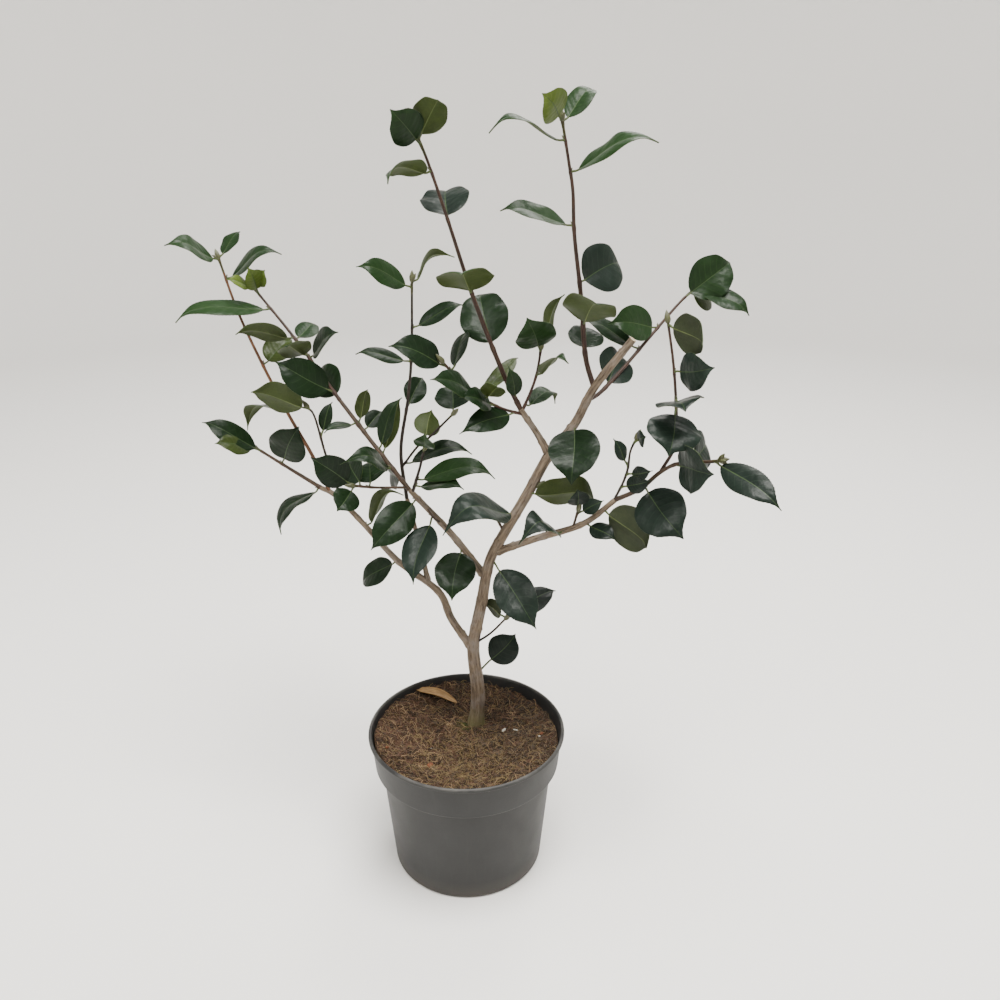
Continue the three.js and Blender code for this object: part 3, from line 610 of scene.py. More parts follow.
WOODS = {"bark": bark, "cut": cut_wood}
wood_parts = []
for number, (name, limb) in enumerate(LIMBS.items()):
    start = place_on(limb["from"], limb["at"])[0] if "from" in limb else TRUNK_FOOT
    parent_radius = place_on(limb["from"], limb["at"])[2] if "from" in limb else 0
    add_limb(name, start, limb["legs"], limb["d"])
    path, gone = fine_line(name, WOOD_STEP)
    rng = np.random.default_rng(WOOD_SEED + number)
    turn = 2 * np.pi * np.arange(WOOD_SIDES) / WOOD_SIDES
    s, th = gone[:, None], turn[None, :]
    base = (limb["d"][0] + (limb["d"][1] - limb["d"][0]) * gone / gone[-1])[:, None] / 2
    radii = base * (1 + 0.05 * np.sin(2 * th + s / 37 + number) + 0.02 * np.sin(3 * th - s / 23))
    for _ in range(BARK_FOLDS):
        around, phase, drift = rng.integers(4, 12), rng.uniform(0, 2 * np.pi), rng.uniform(14, 60)
        radii = radii + 0.055 * np.sin(around * th + phase + 1.4 * np.sin(s / drift + phase))
    spot = rng.uniform(8, NODE_SPACING)
    while spot < gone[-1] - 6:  # a swelling with the scar and the sleeping bud of an old leaf
        facing = rng.uniform(0, 2 * np.pi)
        away = np.angle(np.exp(1j * (th - facing)))
        radii = radii + 0.32 * np.exp(-((s - spot) / 3.2) ** 2)
        radii = radii - 0.22 * np.exp(-((s - spot - 2.6) / 0.9) ** 2)
        radii = radii + 0.75 * np.exp(-((s - spot - 0.8) / 1.5) ** 2 - (away * base / 1.5) ** 2)
        spot += NODE_SPACING * rng.uniform(0.6, 1.3)
    if "from" in limb:
        clear = np.maximum(s - parent_radius, 0)
        radii = radii + COLLAR * np.exp(-clear / 4.5) * np.clip(s / parent_radius, 0, 1)
        radii = radii * np.where(s < parent_radius * 0.8, 0.9, 1)
    else:
        lobes = 1 + 0.25 * np.sin(3 * th + 0.8) + 0.12 * np.sin(5 * th + 2.0)
        radii = radii + ROOT_FLARE * np.exp(-s / FLARE_HEIGHT) * lobes
    if name == "trunk":  # the foot goes on a little into the soil
        path = np.concatenate([[path[0] - [0, 0, depth] for depth in SEATED_DEPTHS], path])
        radii = np.concatenate([radii[:1] * 1.06, radii[:1] * 1.03, radii])
    else:  # the end of a bough is rounded, and its stem goes on from inside it
        radii[-1] *= 0.8
    points, faces, grain = tube(path, radii, WOOD_SIDES)
    grain[:, 2] += 400 * number
    slots = ["bark"] * len(faces)
    if name == "trunk":
        slots[-1] = "cut"
    wood_parts.append((points, faces, grain, slots))
wood = joined_piece("wood", wood_parts, WOODS, "grain")
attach(wood, "root")
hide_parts(*LIMBS)


# Shoots: the younger stems that carry the leaves, with their side twigs. Their bark is thin and
# smooth, brown to red-brown, greener toward the tip, and they swell a little at every leaf.
# A leaf is (distance along the stem, swing, toward, face, length, width, bow, stalk). Swing is its
# direction in degrees from upright, clockwise from the front, toward how far it points to the front,
# and face turns the blade about its own line. Bow and stalk are left out where they are the usual ones.
MASSES = {
    "foliage_left_tip": {
        "from": "bough_left_low", "at": END, "d": (4.2, 2.6), "bark": "brown", "leaf": "deep",
        "legs": [
            (45, -72, -33), (47, -71, -32),
        ],
        "leaves": [
            (2, -136, 27, 70, 60, 28, 0.22), (55, 28, 16, 5, 50, 40), (84, -57, 7, 50, 65, 26),
            (91, -66, 37, 60, 46, 24),
        ],
        "tints": {3: "olive"},
    },
    "foliage_far_left": {
        "from": "bough_left_low", "at": 214, "d": (4, 2.2), "bark": "orange", "leaf": "green",
        "legs": [
            (41, -29, -23), (57, -31, -17), (87, -25, -11), (64, -18, -9),
        ],
        "leaves": [
            (95, -122, -24, 120, 60, 26, 0.3), (140, 50, -40, 30, 42, 30),
            (228, 65, -1, 62, 60, 26, 0.2), (247, -62, 46, 68, 58, 26, 0.18),
            (248, 34, -42, 40, 38, 18),
        ],
        "tints": {1: "olive"},
    },
    "foliage_left_inner": {
        "from": "bough_left_low", "at": 197, "d": (3, 2), "bark": "dark", "leaf": "deep",
        "legs": [
            (46, -16, -5), (40, -13, -5), (12, -38, -20),
        ],
        "leaves": [
            (66, 18, -18, 25, 36, 15), (96, -67, 14, 160, 56, 36),
        ],
    },
    "foliage_mid_left": {
        "from": "bough_left_mid", "at": END, "d": (4.6, 3.8), "bark": "brown", "leaf": "deep",
        "legs": [
            (53, -42, -22), (57, -42, -24),
        ],
        "twig": {
            "at": 3, "d": (2.6, 2.2), "legs": [(30, -87, 8), (22, -76, 22)],
            "leaves": [
                (52, -45, 20, 20, 50, 30), (50, -136, 57, 10, 34, 26), (35, -18, -70, 0, 40, 36),
                (44, -45, -58, 0, 42, 28),
            ],
        },
        "leaves": [
            (12, -101, -65, 0, 36, 28), (42, 18, -17, 165, 57, 15), (48, 23, -5, 40, 56, 20),
            (26, -60, 45, 68, 64, 24, 0.25), (72, 52, -56, 20, 34, 18), (80, 16, 10, 150, 40, 16),
            (82, -89, 45, 70, 38, 12),
        ],
    },
    "foliage_mid_top": {
        "from": "foliage_mid_left", "at": END, "d": (3.6, 2.2), "bark": "red", "leaf": "deep",
        "legs": [
            (75, -39, -20), (63, -42, -19),
        ],
        "leaves": [
            (2, -45, -50, 5, 50, 34), (9, -57, 10, 32, 62, 36), (50, 46, 25, 60, 48, 30),
            (53, -33, 59, 170, 42, 32), (73, 52, -73, 35, 44, 22), (75, -81, 14, 140, 55, 28),
            (112, -92, 20, 64, 89, 26), (136, 33, 23, 20, 26, 18), (137, -56, 45, 60, 32, 14),
            (130, -8, 30, 30, 32, 20),
        ],
        "tints": {4: "green", 6: "green", 7: "young", 8: "young", 9: "young"},
    },
    "foliage_mid_inner": {
        "from": "bough_left_mid", "at": 106, "d": (3, 2.2), "bark": "dark", "leaf": "green",
        "legs": [
            (28, 17, 8), (17, 14, 20), (7, 19, 16),
        ],
        "leaves": [
            (8, 82, 24, 80, 52, 22), (15, 87, -2, 68, 74, 30, 0.16), (49, 6, 39, 10, 28, 20),
        ],
    },
    "foliage_inner_top": {
        "from": "bough_left_inner", "at": END, "d": (3.8, 2), "bark": "dark", "leaf": "deep",
        "legs": [
            (47, -6, -12), (50, 9, -10), (44, 6, -6), (66, 2, -4),
        ],
        "twig": {
            "at": 31, "d": (2.4, 2), "legs": [(32, 34, 22), (20, 45, 28), (28, 41, 21), (10, 40, 25)],
            "leaves": [
                (6, 81, -5, 66, 65, 22, 0.16), (44, 14, -47, 170, 34, 26), (90, -7, -66, 0, 40, 34),
            ],
        },
        "leaves": [
            (87, 31, -50, 0, 42, 22), (133, -76, 12, 62, 52, 18), (164, 66, -6, 55, 53, 22),
            (200, -62, 26, 48, 56, 26), (205, 61, -37, 120, 52, 18, 0.28),
        ],
        "tints": {3: "green"},
    },
    "foliage_leader": {
        "from": "bough_centre", "at": END, "d": (4.6, 2.2), "bark": "red", "leaf": "green",
        "legs": [
            (37, -25, 3), (68, -21, 2), (66, -18, -2), (47, -19, -5), (20, -23, -5),
        ],
        "leaves": [
            (7, -12, 18, 15, 36, 15), (60, -16, -44, 0, 60, 44), (110, -15, 64, 170, 56, 48),
            (172, -8, -68, 0, 54, 42), (210, -99, 49, 110, 50, 28, 0.2), (232, -38, 41, 10, 42, 30),
            (237, 33, 42, 170, 46, 28), (236, 18, -45, 10, 32, 20),
        ],
        "tints": {1: "deep", 3: "grey", 5: "green", 6: "olive", 7: "olive"},
    },
    "foliage_centre_right": {
        "from": "bough_centre", "at": 48, "d": (2.8, 2), "bark": "red", "leaf": "green",
        "legs": [
            (20, 24, -13), (13, 20, -18), (13, 12, -17), (12, 8, -12),
        ],
        "leaves": [
            (6, 103, -49, 85, 46, 18, 0.3), (34, 53, 41, 110, 42, 22, 0.2), (55, -21, 33, 0, 42, 36),
            (57, 25, -32, 130, 56, 20),
        ],
    },
    "foliage_centre_left": {
        "from": "bough_centre", "at": 44, "d": (2.8, 2), "bark": "red", "leaf": "deep",
        "legs": [
            (25, -66, 25), (24, -53, 24), (31, -46, 14), (16, -38, 14),
        ],
        "leaves": [
            (10, -96, 42, 40, 62, 24), (31, -59, 43, 60, 46, 22), (52, -58, 39, 60, 56, 24),
            (45, 37, 46, 160, 30, 22), (50, 57, -56, 50, 72, 16, 0.02), (83, 25, -50, 60, 48, 20),
            (90, -64, 17, 45, 52, 28),
        ],
        "tints": {4: "olive"},
    },
    "foliage_upright": {
        "from": "trunk", "at": 375, "d": (4.8, 2.2), "bark": "red", "leaf": "green",
        "legs": [
            (29, -16, -18), (47, -6, 0), (54, -8, 0), (35, -4, 2), (23, -10, 0), (32, -11, 0),
        ],
        "leaves": [
            (32, 10, -62, 0, 36, 32), (56, 15, 60, 180, 54, 46), (92, 74, -47, 20, 58, 44),
            (137, -77, -1, 65, 62, 26), (180, 68, 21, 68, 74, 28, 0.14),
            (204, -81, 23, 80, 66, 24, 0.2), (219, -42, 50, 15, 38, 28),
            (218, 51, -37, 45, 46, 22, 0.2),
        ],
        "tints": {0: "deep", 2: "grey", 6: "young", 7: "green"},
    },
    "foliage_right_top": {
        "from": "trunk", "at": 361, "d": (4, 2.2), "bark": "red", "leaf": "green",
        "legs": [
            (27, 82, -57), (34, 54, -40), (54, 50, -38), (48, 51, -39), (27, 58, -37),
        ],
        "leaves": [
            (36, 38, -55, 0, 48, 38), (90, -63, -9, 60, 60, 26), (122, -78, 30, 30, 57, 34),
            (178, 113, -42, 40, 40, 30), (170, 56, -20, 12, 58, 42), (186, 112, 18, 50, 58, 26),
        ],
        "tints": {0: "grey", 1: "deep", 3: "olive", 5: "green"},
    },
    "foliage_right_low": {
        "from": "bough_right_low", "at": END, "d": (4.4, 2.4), "bark": "brown", "leaf": "grey",
        "legs": [
            (25, 55, 20), (25, 38, 22), (25, 40, 43), (29, 66, 44), (10, 64, 38),
        ],
        "leaves": [
            (29, 135, 52, 10, 60, 44), (70, 72, 62, 15, 48, 40), (90, 68, -62, 0, 36, 34),
            (109, 115, 50, 35, 68, 26),
        ],
    },
    "foliage_right_mid": {
        "from": "foliage_right_low", "at": 50, "d": (3, 2), "bark": "red", "leaf": "grey",
        "legs": [
            (28, 22, 6), (32, -2, -6), (34, -6, -10), (34, -9, -15),
        ],
        "leaves": [
            (58, -159, 53, 10, 48, 44), (65, -12, 84, 180, 44, 38), (87, 60, 56, 25, 46, 30),
            (125, 108, 63, 160, 48, 32),
        ],
    },
    "foliage_right_inner": {
        "from": "bough_right_low", "at": 131, "d": (2.4, 1.8), "bark": "dark", "leaf": "grey",
        "legs": [
            (22, 19, 16), (15, 12, 11), (16, 3, 11), (13, 19, 9),
        ],
        "leaves": [
            (30, 57, 46, 30, 30, 13), (38, -28, 8, 30, 30, 12), (16, 56, 40, 20, 34, 16),
            (62, 32, 54, 50, 20, 14),
        ],
    },
    "foliage_right_spur": {
        "from": "bough_right_low", "at": 81, "d": (2.6, 2), "bark": "brown", "leaf": "grey",
        "legs": [
            (22, 10, 18),
        ],
        "leaves": [
            (17, 51, 23, 30, 30, 14), (20, -4, 22, 10, 26, 19),
        ],
    },
    "sprig_trunk_low": {
        "from": "trunk", "at": 95, "d": (2.4, 1.8), "bark": "dark", "leaf": "grey",
        "legs": [
            (26, 44, 20), (26, 36, 16),
        ],
        "leaves": [
            (55, -76, -43, 165, 30, 20), (54, 72, -30, 60, 58, 28),
        ],
    },
}
SINGLE_LEAVES = {  # limb, then a row as above
    "leaf_trunk_low": ("trunk", 58, 48, -20, 12, 56, 32, 0.09, 21),
    "leaf_trunk_mid": ("trunk", 189, 139, 39, 15, 80, 38, 0.09, 15),
    "leaf_trunk_arched": ("trunk", 240, -95, 30, 62, 76, 38, 0.38),
    "leaf_trunk_side": ("trunk", 262, 94, 34, 150, 70, 38, 0.3),
    "leaf_trunk_high": ("trunk", 338, -172, 49, 15, 60, 46),
    "leaf_left_low_outer": ("bough_left_low", 161, 46, -2, 125, 50, 24, 0.26),
    "leaf_left_low_inner": ("bough_left_low", 116, -128, -12, 60, 50, 30),
    "leaf_left_mid_foot": ("bough_left_mid", 37, -166, 55, 10, 56, 38),
    "leaf_left_mid_hanging": ("bough_left_mid", 78, -160, 48, 25, 72, 34, 0.09, 12),
    "leaf_left_mid_outer": ("bough_left_mid", 99, -131, 35, 18, 66, 34),
    "leaf_right_low_arched": ("bough_right_low", 71, -81, 45, 75, 58, 31, 0.38),
    "leaf_right_low_broad": ("bough_right_low", 118, 117, 45, 165, 56, 42),
    "leaf_right_low_small": ("bough_right_low", 94, 100, 45, 50, 36, 18),
}
GREY_SINGLES = ("leaf_trunk_low", "leaf_trunk_mid", "leaf_trunk_arched", "leaf_left_mid_hanging",
                "leaf_right_low_arched", "leaf_right_low_broad", "leaf_right_low_small")
# Bare bits of twig: limb, distance, length, lean, reach and the diameters at foot and tip.
BARE_TWIGS = [
    ("trunk", 218, 34, -27, 4, 3.0, 1.9), ("trunk", 214, 9, 52, 12, 2.4, 1.0),
    ("trunk", 262, 10, 62, 8, 1.8, 1.4), ("bough_left_mid", 67, 24, -38, 30, 2.6, 2.0),
    ("bough_left_low", 102, 18, 14, 20, 2.6, 2.1), ("bough_left_low", 149, 9, 20, -10, 2.0, 1.2),
    ("bough_right_low", 54, 8, 10, -20, 2.2, 1.4),
]
SHOOT_STEP = 1.8
SHOOT_SIDES = 10
NODE_SWELLING = 0.2  # of the shoot's radius

# Young camellia bark: faintly glossy, with fine lengthwise lines and pale pores.
SHOOT_BARKS = {  # shade, light shade, and pores
    "brown": ("#261c15", "#443426", "#5c4a38"), "orange": ("#3a2418", "#5f3d27", "#775639"),
    "red": ("#20140f", "#3b271e", "#55402f"), "dark": ("#15100d", "#281f18", "#3c3026"),
    "greenish": ("#27240f", "#3d3a20", "#525030"),
}
barks = {}
for name, (shade, light_shade, pore) in SHOOT_BARKS.items():
    barks[name], tree = new_material("young_bark_" + name, light_shade)
    along_limb = add(tree, "ShaderNodeAttribute", attribute_name="grain").outputs["Vector"]
    streak = noise(tree, drawn_out(tree, along_limb, 0.12), 1.1, 3.0)
    pores = noise(tree, along_limb, 0.9, 1.0)
    streaked = blend(tree, ramp(tree, streak, 0.35, 0.65, 0, 1), shade, light_shade)
    dotted = blend(tree, ramp(tree, pores, 0.62, 0.72, 0, 0.6), streaked, pore)
    coat(tree, dotted, 0.55, 0.25, bumps(tree, streak, 0.2 * MM, 0.4))

shoot_parts = []
leaf_places = []  # node name, limb, row, tint
bud_places = []  # place and direction in mm, and length in mm


def add_shoot(name, look, rows, ends_in_bud, greens):
    """The stem or twig of this limb, swollen where its leaves sit."""
    path, gone = fine_line(name, SHOOT_STEP)
    limb = limbs[name]
    radii = (limb["d"][0] + (limb["d"][1] - limb["d"][0]) * gone / gone[-1]) / 2
    for row in rows:
        away = gone - row[0]
        radii = radii * (1 + NODE_SWELLING * np.exp(-(away / np.where(away < 0, 3.4, 1.4)) ** 2))
    radii[-1] *= 0.85
    points, faces, grain = tube(path, radii, SHOOT_SIDES)
    grain[:, 2] += 37 * len(shoot_parts)
    ring = (np.arange(len(faces)) - 1) // SHOOT_SIDES
    first_green = len(path) * (1 - greens)
    slots = ["greenish" if k > first_green else look for k in ring]
    shoot_parts.append((points, faces, grain, slots))
    if ends_in_bud:
        tip, along, _ = place_on(name, END)
        bud_places.append((tip - 2 * along, along, 11))


for name, mass in MASSES.items():
    start = place_on(mass["from"], mass["at"])[0]
    add_limb(name, start, mass["legs"], mass["d"])
    goes_on = any(other["from"] == name and other["at"] == END for other in MASSES.values())
    add_shoot(name, mass["bark"], mass["leaves"], not goes_on, 0 if goes_on else 0.07)
    tints = mass.get("tints", {})
    leaf_places += [(name, name, row, tints.get(k, mass["leaf"])) for k, row in enumerate(mass["leaves"])]
    if "twig" in mass:
        twig = mass["twig"]
        add_limb(name + "_twig", place_on(name, twig["at"])[0], twig["legs"], twig["d"])
        add_shoot(name + "_twig", mass["bark"], twig["leaves"], True, 0.12)
        leaf_places += [(name, name + "_twig", row, mass["leaf"]) for row in twig["leaves"]]
leaf_places += [(name, row[0], row[1:], "grey" if name in GREY_SINGLES else "deep")
                for name, row in SINGLE_LEAVES.items()]
for number, (limb, at, length, lean, reach, foot, tip) in enumerate(BARE_TWIGS):
    name = "bare_twig_%d" % number
    legs = [(length * 0.55, lean, reach), (length * 0.45, lean + (14 if number % 2 else -12), reach - 8)]
    add_limb(name, place_on(limb, at)[0], legs, (foot, tip))
    add_shoot(name, "brown", [], number == 2, 0)
shoots = joined_piece("shoots", shoot_parts, barks, "grain")
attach(shoots, "root")


# Leaves: leathery evergreen blades on short stalks, glossy dark green above and dull olive below,
# folded at a pale midrib, arched, with a hooked tip and a finely toothed edge.
STALK_LENGTH = 7
BLADE_FOLD = 14  # degrees, as in the frame; each leaf has its own near it
BLADE_BOW = 0.09
BLADE_STEPS = 48
BLADE_ACROSS = [-1, -0.86, -0.66, -0.44, -0.2, -0.001, 0.001, 0.2, 0.44, 0.66, 0.86, 1]
BLADE_THICKNESS = 0.45
RIB_HALF_WIDTH = (0.45, 0.12)  # mm, at the blade's foot and tip
TOOTH = 0.35  # mm that every second point of the edge stands out
LEAST_HALF_WIDTH = 0.35  # mm, of the blade at its two ends
RIB_SINK = 0.15  # mm that the midrib lies below the blade
VEIN_DEPTH = 0.12  # mm that a side vein is sunk
STALK_RADII = (1.15, 0.85)  # mm, at the stem and at the blade
STALK_RINGS = 9
STALK_SIDES = 7
LEAF_SEED = 5000
SIDE_VEINS = 8  # on each side of the midrib


def leaf_part(limb, row, tint, number):
    """The closed mesh of one leaf and its stalk, from the same row as the source's leaf."""
    at, swing, toward, face, length, width, *rest = row
    bow = rest[0] if rest else BLADE_BOW
    stalk_length = rest[1] if len(rest) > 1 else STALK_LENGTH
    rng = np.random.default_rng(LEAF_SEED + number)
    root, stem_along, stem_radius = place_on(limb, at)
    along = heading(swing, toward)
    front = np.array([0, -1.0, 0])
    front -= along * front.dot(along)
    front /= np.linalg.norm(front)
    upward = np.cross(front, along) * (-1 if swing < 0 else 1)
    turn = math.radians(face)
    normal = math.cos(turn) * front + math.sin(turn) * upward
    across = np.cross(along, normal)
    blade = length - stalk_length

    t = np.linspace(0, 1, BLADE_STEPS + 1)
    late = rng.uniform(0.35, 0.75)  # the arch peaks past the middle, so that the tip hooks down
    eased = t - late * t * (1 - t)
    hook = rng.uniform(0.02, 0.08) * blade * np.clip((t - 0.8) / 0.2, 0, 1) ** 2
    rise = blade * bow * np.sin(np.pi * eased) - hook
    sway = blade * rng.uniform(-0.035, 0.035) * np.sin(np.pi * t)
    middle = (root + along * (stalk_length + blade * t)[:, None] + normal * rise[:, None]
              + across * sway[:, None])
    ahead = np.gradient(middle, axis=0)
    ahead /= np.linalg.norm(ahead, axis=1)[:, None]
    up = normal - ahead * (ahead @ normal)[:, None]
    up /= np.linalg.norm(up, axis=1)[:, None]
    out = np.cross(ahead, up)
    twist = math.radians(rng.uniform(-13, 13)) * (t - 0.4)
    up, out = (up * np.cos(twist)[:, None] + out * np.sin(twist)[:, None],
               out * np.cos(twist)[:, None] - up * np.sin(twist)[:, None])

    fullness = np.interp(width / length, [0.4, 0.72], [0.84, 0.6])  # a broad blade is blunt at both ends
    share = np.sin(np.pi * t ** 0.82) ** fullness
    point = np.clip((t - 0.76) / 0.24, 0, 1)
    half = width / 2 * share * (1 - 0.72 * point ** 2 * (3 - 2 * point))
    half = np.maximum(half, LEAST_HALF_WIDTH)
    fold = math.radians(BLADE_FOLD + rng.uniform(-5, 9)) * (1.15 - 0.5 * np.sin(np.pi * t))
    rolled = rng.uniform(0.05, 0.20)
    waves, phases, wave = rng.uniform(1.3, 2.3, 2), rng.uniform(0, 2 * np.pi, 2), rng.uniform(0.02, 0.09)
    rib = np.interp(t, [0, 1], RIB_HALF_WIDTH)
    top, bottom, place = [], [], []
    for j, u in enumerate(BLADE_ACROSS):
        side = 0 if u < 0 else 1
        if abs(u) < 0.01:
            reach = np.sign(u) * np.minimum(rib, 0.5 * half)
            lift = np.full_like(t, -RIB_SINK)
            drop = 0.35 + 0.55 * (1 - t)
        else:
            reach = u * half
            lift = np.abs(reach) * np.sin(fold) - rolled * half * abs(u) ** 3
            lift = lift + wave * half * u ** 2 * np.sin(2 * np.pi * waves[side] * t + phases[side])
            vein = np.abs((t - 0.2 * abs(u) ** 1.3) * SIDE_VEINS % 1 - 0.5)
            lift = lift - VEIN_DEPTH * np.clip(2 * vein - 0.45, 0, 1) * (1 - abs(u) ** 4)
            drop = 0
        if abs(u) == 1:
            reach = reach + np.sign(u) * TOOTH * (np.arange(len(t)) % 2) * (half > 2)
        at_top = middle + out * (reach * np.cos(fold))[:, None] + up * lift[:, None]
        top.append(at_top)
        bottom.append(at_top - up * (BLADE_THICKNESS + drop * np.ones_like(t))[:, None])
        lot = rng.random() if j == 0 else 0
        place.append(np.stack([np.full_like(t, u), t, np.full_like(t, lot)], axis=1))
    own = place[0][0, 2]
    for sheet in place:
        sheet[:, 2] = own
    count = len(BLADE_ACROSS)
    points = np.concatenate([np.stack(side, axis=1).reshape(-1, 3) for side in (top, bottom)])
    places = np.tile(np.stack(place, axis=1).reshape(-1, 3), (2, 1))
    under = len(t) * count
    last = count - 1
    faces, slots = [], []
    for i in range(BLADE_STEPS):
        a, b = i * count, (i + 1) * count
        for j in range(last):
            faces.append((a + j, b + j, b + j + 1, a + j + 1))
            faces.append((under + a + j, under + a + j + 1, under + b + j + 1, under + b + j))
            is_rib = abs(BLADE_ACROSS[j]) < 0.01 and abs(BLADE_ACROSS[j + 1]) < 0.01
            slots += ["rib", "rib_below"] if is_rib else [tint, "below_grey" if tint == "grey" else "below"]
        faces.append((b, a, under + a, under + b))
        faces.append((a + last, b + last, under + b + last, under + a + last))
        slots += ["edge", "edge"]
    for a, flip in ((0, False), (BLADE_STEPS * count, True)):
        for j in range(last):
            corners = (a + j, a + j + 1, under + a + j + 1, under + a + j)
            faces.append(tuple(reversed(corners)) if flip else corners)
            slots.append("edge")

    start = root + stem_along * -1.0
    bend = root + (stem_along * 0.6 + along * 0.6) * 2.6
    end = middle[0] - up[0] * 0.45
    into = middle[3] - up[3] * 0.55
    s = np.linspace(0, 1, STALK_RINGS)[:, None]
    before_end = 2 * end - into
    stalk = (1 - s) ** 3 * start + 3 * s * (1 - s) ** 2 * bend
    stalk = stalk + 3 * s ** 2 * (1 - s) * before_end + s ** 3 * end
    stalk = np.concatenate([stalk, [into]])
    radii = np.concatenate([np.linspace(*STALK_RADII, STALK_RINGS), [0.35]])
    stalk_points, stalk_faces, _ = tube(stalk, radii, STALK_SIDES)
    faces += [tuple(len(points) + k for k in side) for side in stalk_faces]
    slots += ["stalk"] * len(stalk_faces)
    places = np.concatenate([places, np.tile([0, 0, own], (len(stalk_points), 1))])
    points = np.concatenate([points, stalk_points])
    bud_places.append((root + along * (stem_radius * 0.6) + stem_along * 1.2, stem_along * 0.8 + along * 0.6,
                       rng.uniform(2.6, 4.2)))
    return points, faces, places, slots


# Camellia leaf, upper side: a thick waxy skin, so deep green with a broad soft gloss, darker between
# the sunk side veins, which show a little paler.
LEAF_TOPS = {  # shade, light shade, veins
    "deep": ("#0a160a", "#12220f", "#1f3219"), "green": ("#11200e", "#1b3014", "#2a401f"),
    "grey": ("#111914", "#1a251e", "#283429"), "olive": ("#20290f", "#323d1b", "#444f28"),
    "young": ("#3b4a18", "#56662a", "#6f7d3f"),
}
leaf_looks = {}
for name, (shade, light_shade, vein_colour) in LEAF_TOPS.items():
    leaf_looks[name], tree = new_material("camellia_leaf_" + name, light_shade)
    place = add(tree, "ShaderNodeTexCoord").outputs["Object"]
    blade = add(tree, "ShaderNodeAttribute", attribute_name="blade").outputs["Vector"]
    part = add(tree, "ShaderNodeSeparateXYZ", {0: blade}).outputs
    aside = calculate(tree, "POWER", calculate(tree, "ABSOLUTE", part["X"]), 1.3)
    lag = calculate(tree, "MULTIPLY_ADD", aside, -0.2, part["Y"])
    beat = calculate(tree, "MULTIPLY", lag, float(SIDE_VEINS))
    beat = calculate(tree, "PINGPONG", beat, 0.5)
    inner = ramp(tree, aside, 0.55, 0.95, 0.4, 0)
    vein = calculate(tree, "MULTIPLY", ramp(tree, beat, 0, 0.075, 1, 0), inner)
    cloud = noise(tree, place, 13 * MM, 3.0, Roughness=0.6)
    tone = ramp(tree, calculate(tree, "ADD", cloud, part["Z"]), 0.4, 1.6, 0, 1)
    veined = blend(tree, vein, blend(tree, tone, shade, light_shade), vein_colour)
    pitted = noise(tree, place, 1.3 * MM, 2.0)
    swell = noise(tree, place, 9 * MM, 2.0)
    quilt = calculate(tree, "MULTIPLY_ADD", pitted, 0.45, beat)
    quilt = calculate(tree, "MULTIPLY_ADD", swell, 5.0, quilt)
    wax = ramp(tree, cloud, 0, 1, 0.25, 0.42)
    coat(tree, veined, wax, 0.13, bumps(tree, quilt, 0.6 * MM, 0.28))

# The other skins of the leaf: the dull underside with its net of veins, olive or, on the greyest
# leaves, grey-green, the cartilage of midrib and edge, and the stalk.
LEAF_SKINS = {  # shade, light shade, roughness, size of the pattern in mm
    "below": ("#232d0d", "#343f17", 0.55, 3.0), "below_grey": ("#1f2516", "#2d341f", 0.55, 3.0),
    "rib": ("#24331a", "#364627", 0.45, 5.0), "rib_below": ("#3f4a22", "#59633a", 0.5, 5.0),
    "edge": ("#2a3719", "#3f4d28", 0.5, 4.0), "stalk": ("#323c24", "#4a5330", 0.45, 4.0),
}
for name, (shade, light_shade, roughness, grain_size) in LEAF_SKINS.items():
    leaf_looks[name], tree = new_material("camellia_leaf_" + name, light_shade)
    place = add(tree, "ShaderNodeTexCoord").outputs["Object"]
    net = add(tree, "ShaderNodeTexVoronoi", {"Vector": place, "Scale": 1 / (grain_size * MM)},
              feature="DISTANCE_TO_EDGE")
    thin = ramp(tree, net.outputs["Distance"], 0, 0.08, 0.35, 0)
    tone = calculate(tree, "ADD", noise(tree, place, 9 * MM, 3.0), thin)
    coat(tree, blend(tree, tone, shade, light_shade), roughness, 0.2, bumps(tree, thin, 0.3 * MM, 0.3))

SPRAYS = {  # the pieces that the leaves are joined into, and what the names of their nodes start with
    "leaves_left": ("foliage_left", "foliage_far", "foliage_mid", "leaf_left"),
    "leaves_right": ("foliage_right", "leaf_right"),
    "leaves_middle": ("foliage_inner", "foliage_leader", "foliage_centre", "foliage_upright", "leaf_trunk",
                      "sprig"),
}
for spray, starts in SPRAYS.items():
    here = [(number, *spot) for number, spot in enumerate(leaf_places) if spot[0].startswith(starts)]
    parts = [leaf_part(limb, row, tint, number) for number, _, limb, row, tint in here]
    leaves = joined_piece(spray, parts, leaf_looks, "blade")
    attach(leaves, "root")
    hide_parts(*dict.fromkeys(node for _, node, _, _, _ in here))


# Buds: a pointed bud of overlapping scales at the tip of every shoot, and a small one above each leaf.
BUD_SIDES = 9
BUD_RINGS = [(0.0, 0.10), (0.1, 0.17), (0.28, 0.21), (0.46, 0.205), (0.64, 0.16), (0.8, 0.10), (0.92, 0.05)]
SCALES = 3  # turns of scales round a bud
CLUSTER = [  # extra buds round the tip of a shoot: limb, lean, reach and length in mm
    ("foliage_right_low", 20, 30, 9), ("foliage_right_low", 110, 20, 8), ("foliage_right_low", 60, 60, 8),
    ("foliage_inner_top", 30, 10, 8), ("foliage_upright", 15, 30, 7), ("foliage_far_left", -60, 20, 7),
]

# Bud scales: tough and dry, olive with brown edges, with a faint silky gloss.
bud_scale, tree = new_material("bud_scale", "#4c5029")
place = add(tree, "ShaderNodeTexCoord").outputs["Object"]
spots = noise(tree, place, 1.6 * MM, 3.0)
coat(tree, blend(tree, spots, "#30291a", "#4f5530"), 0.45)

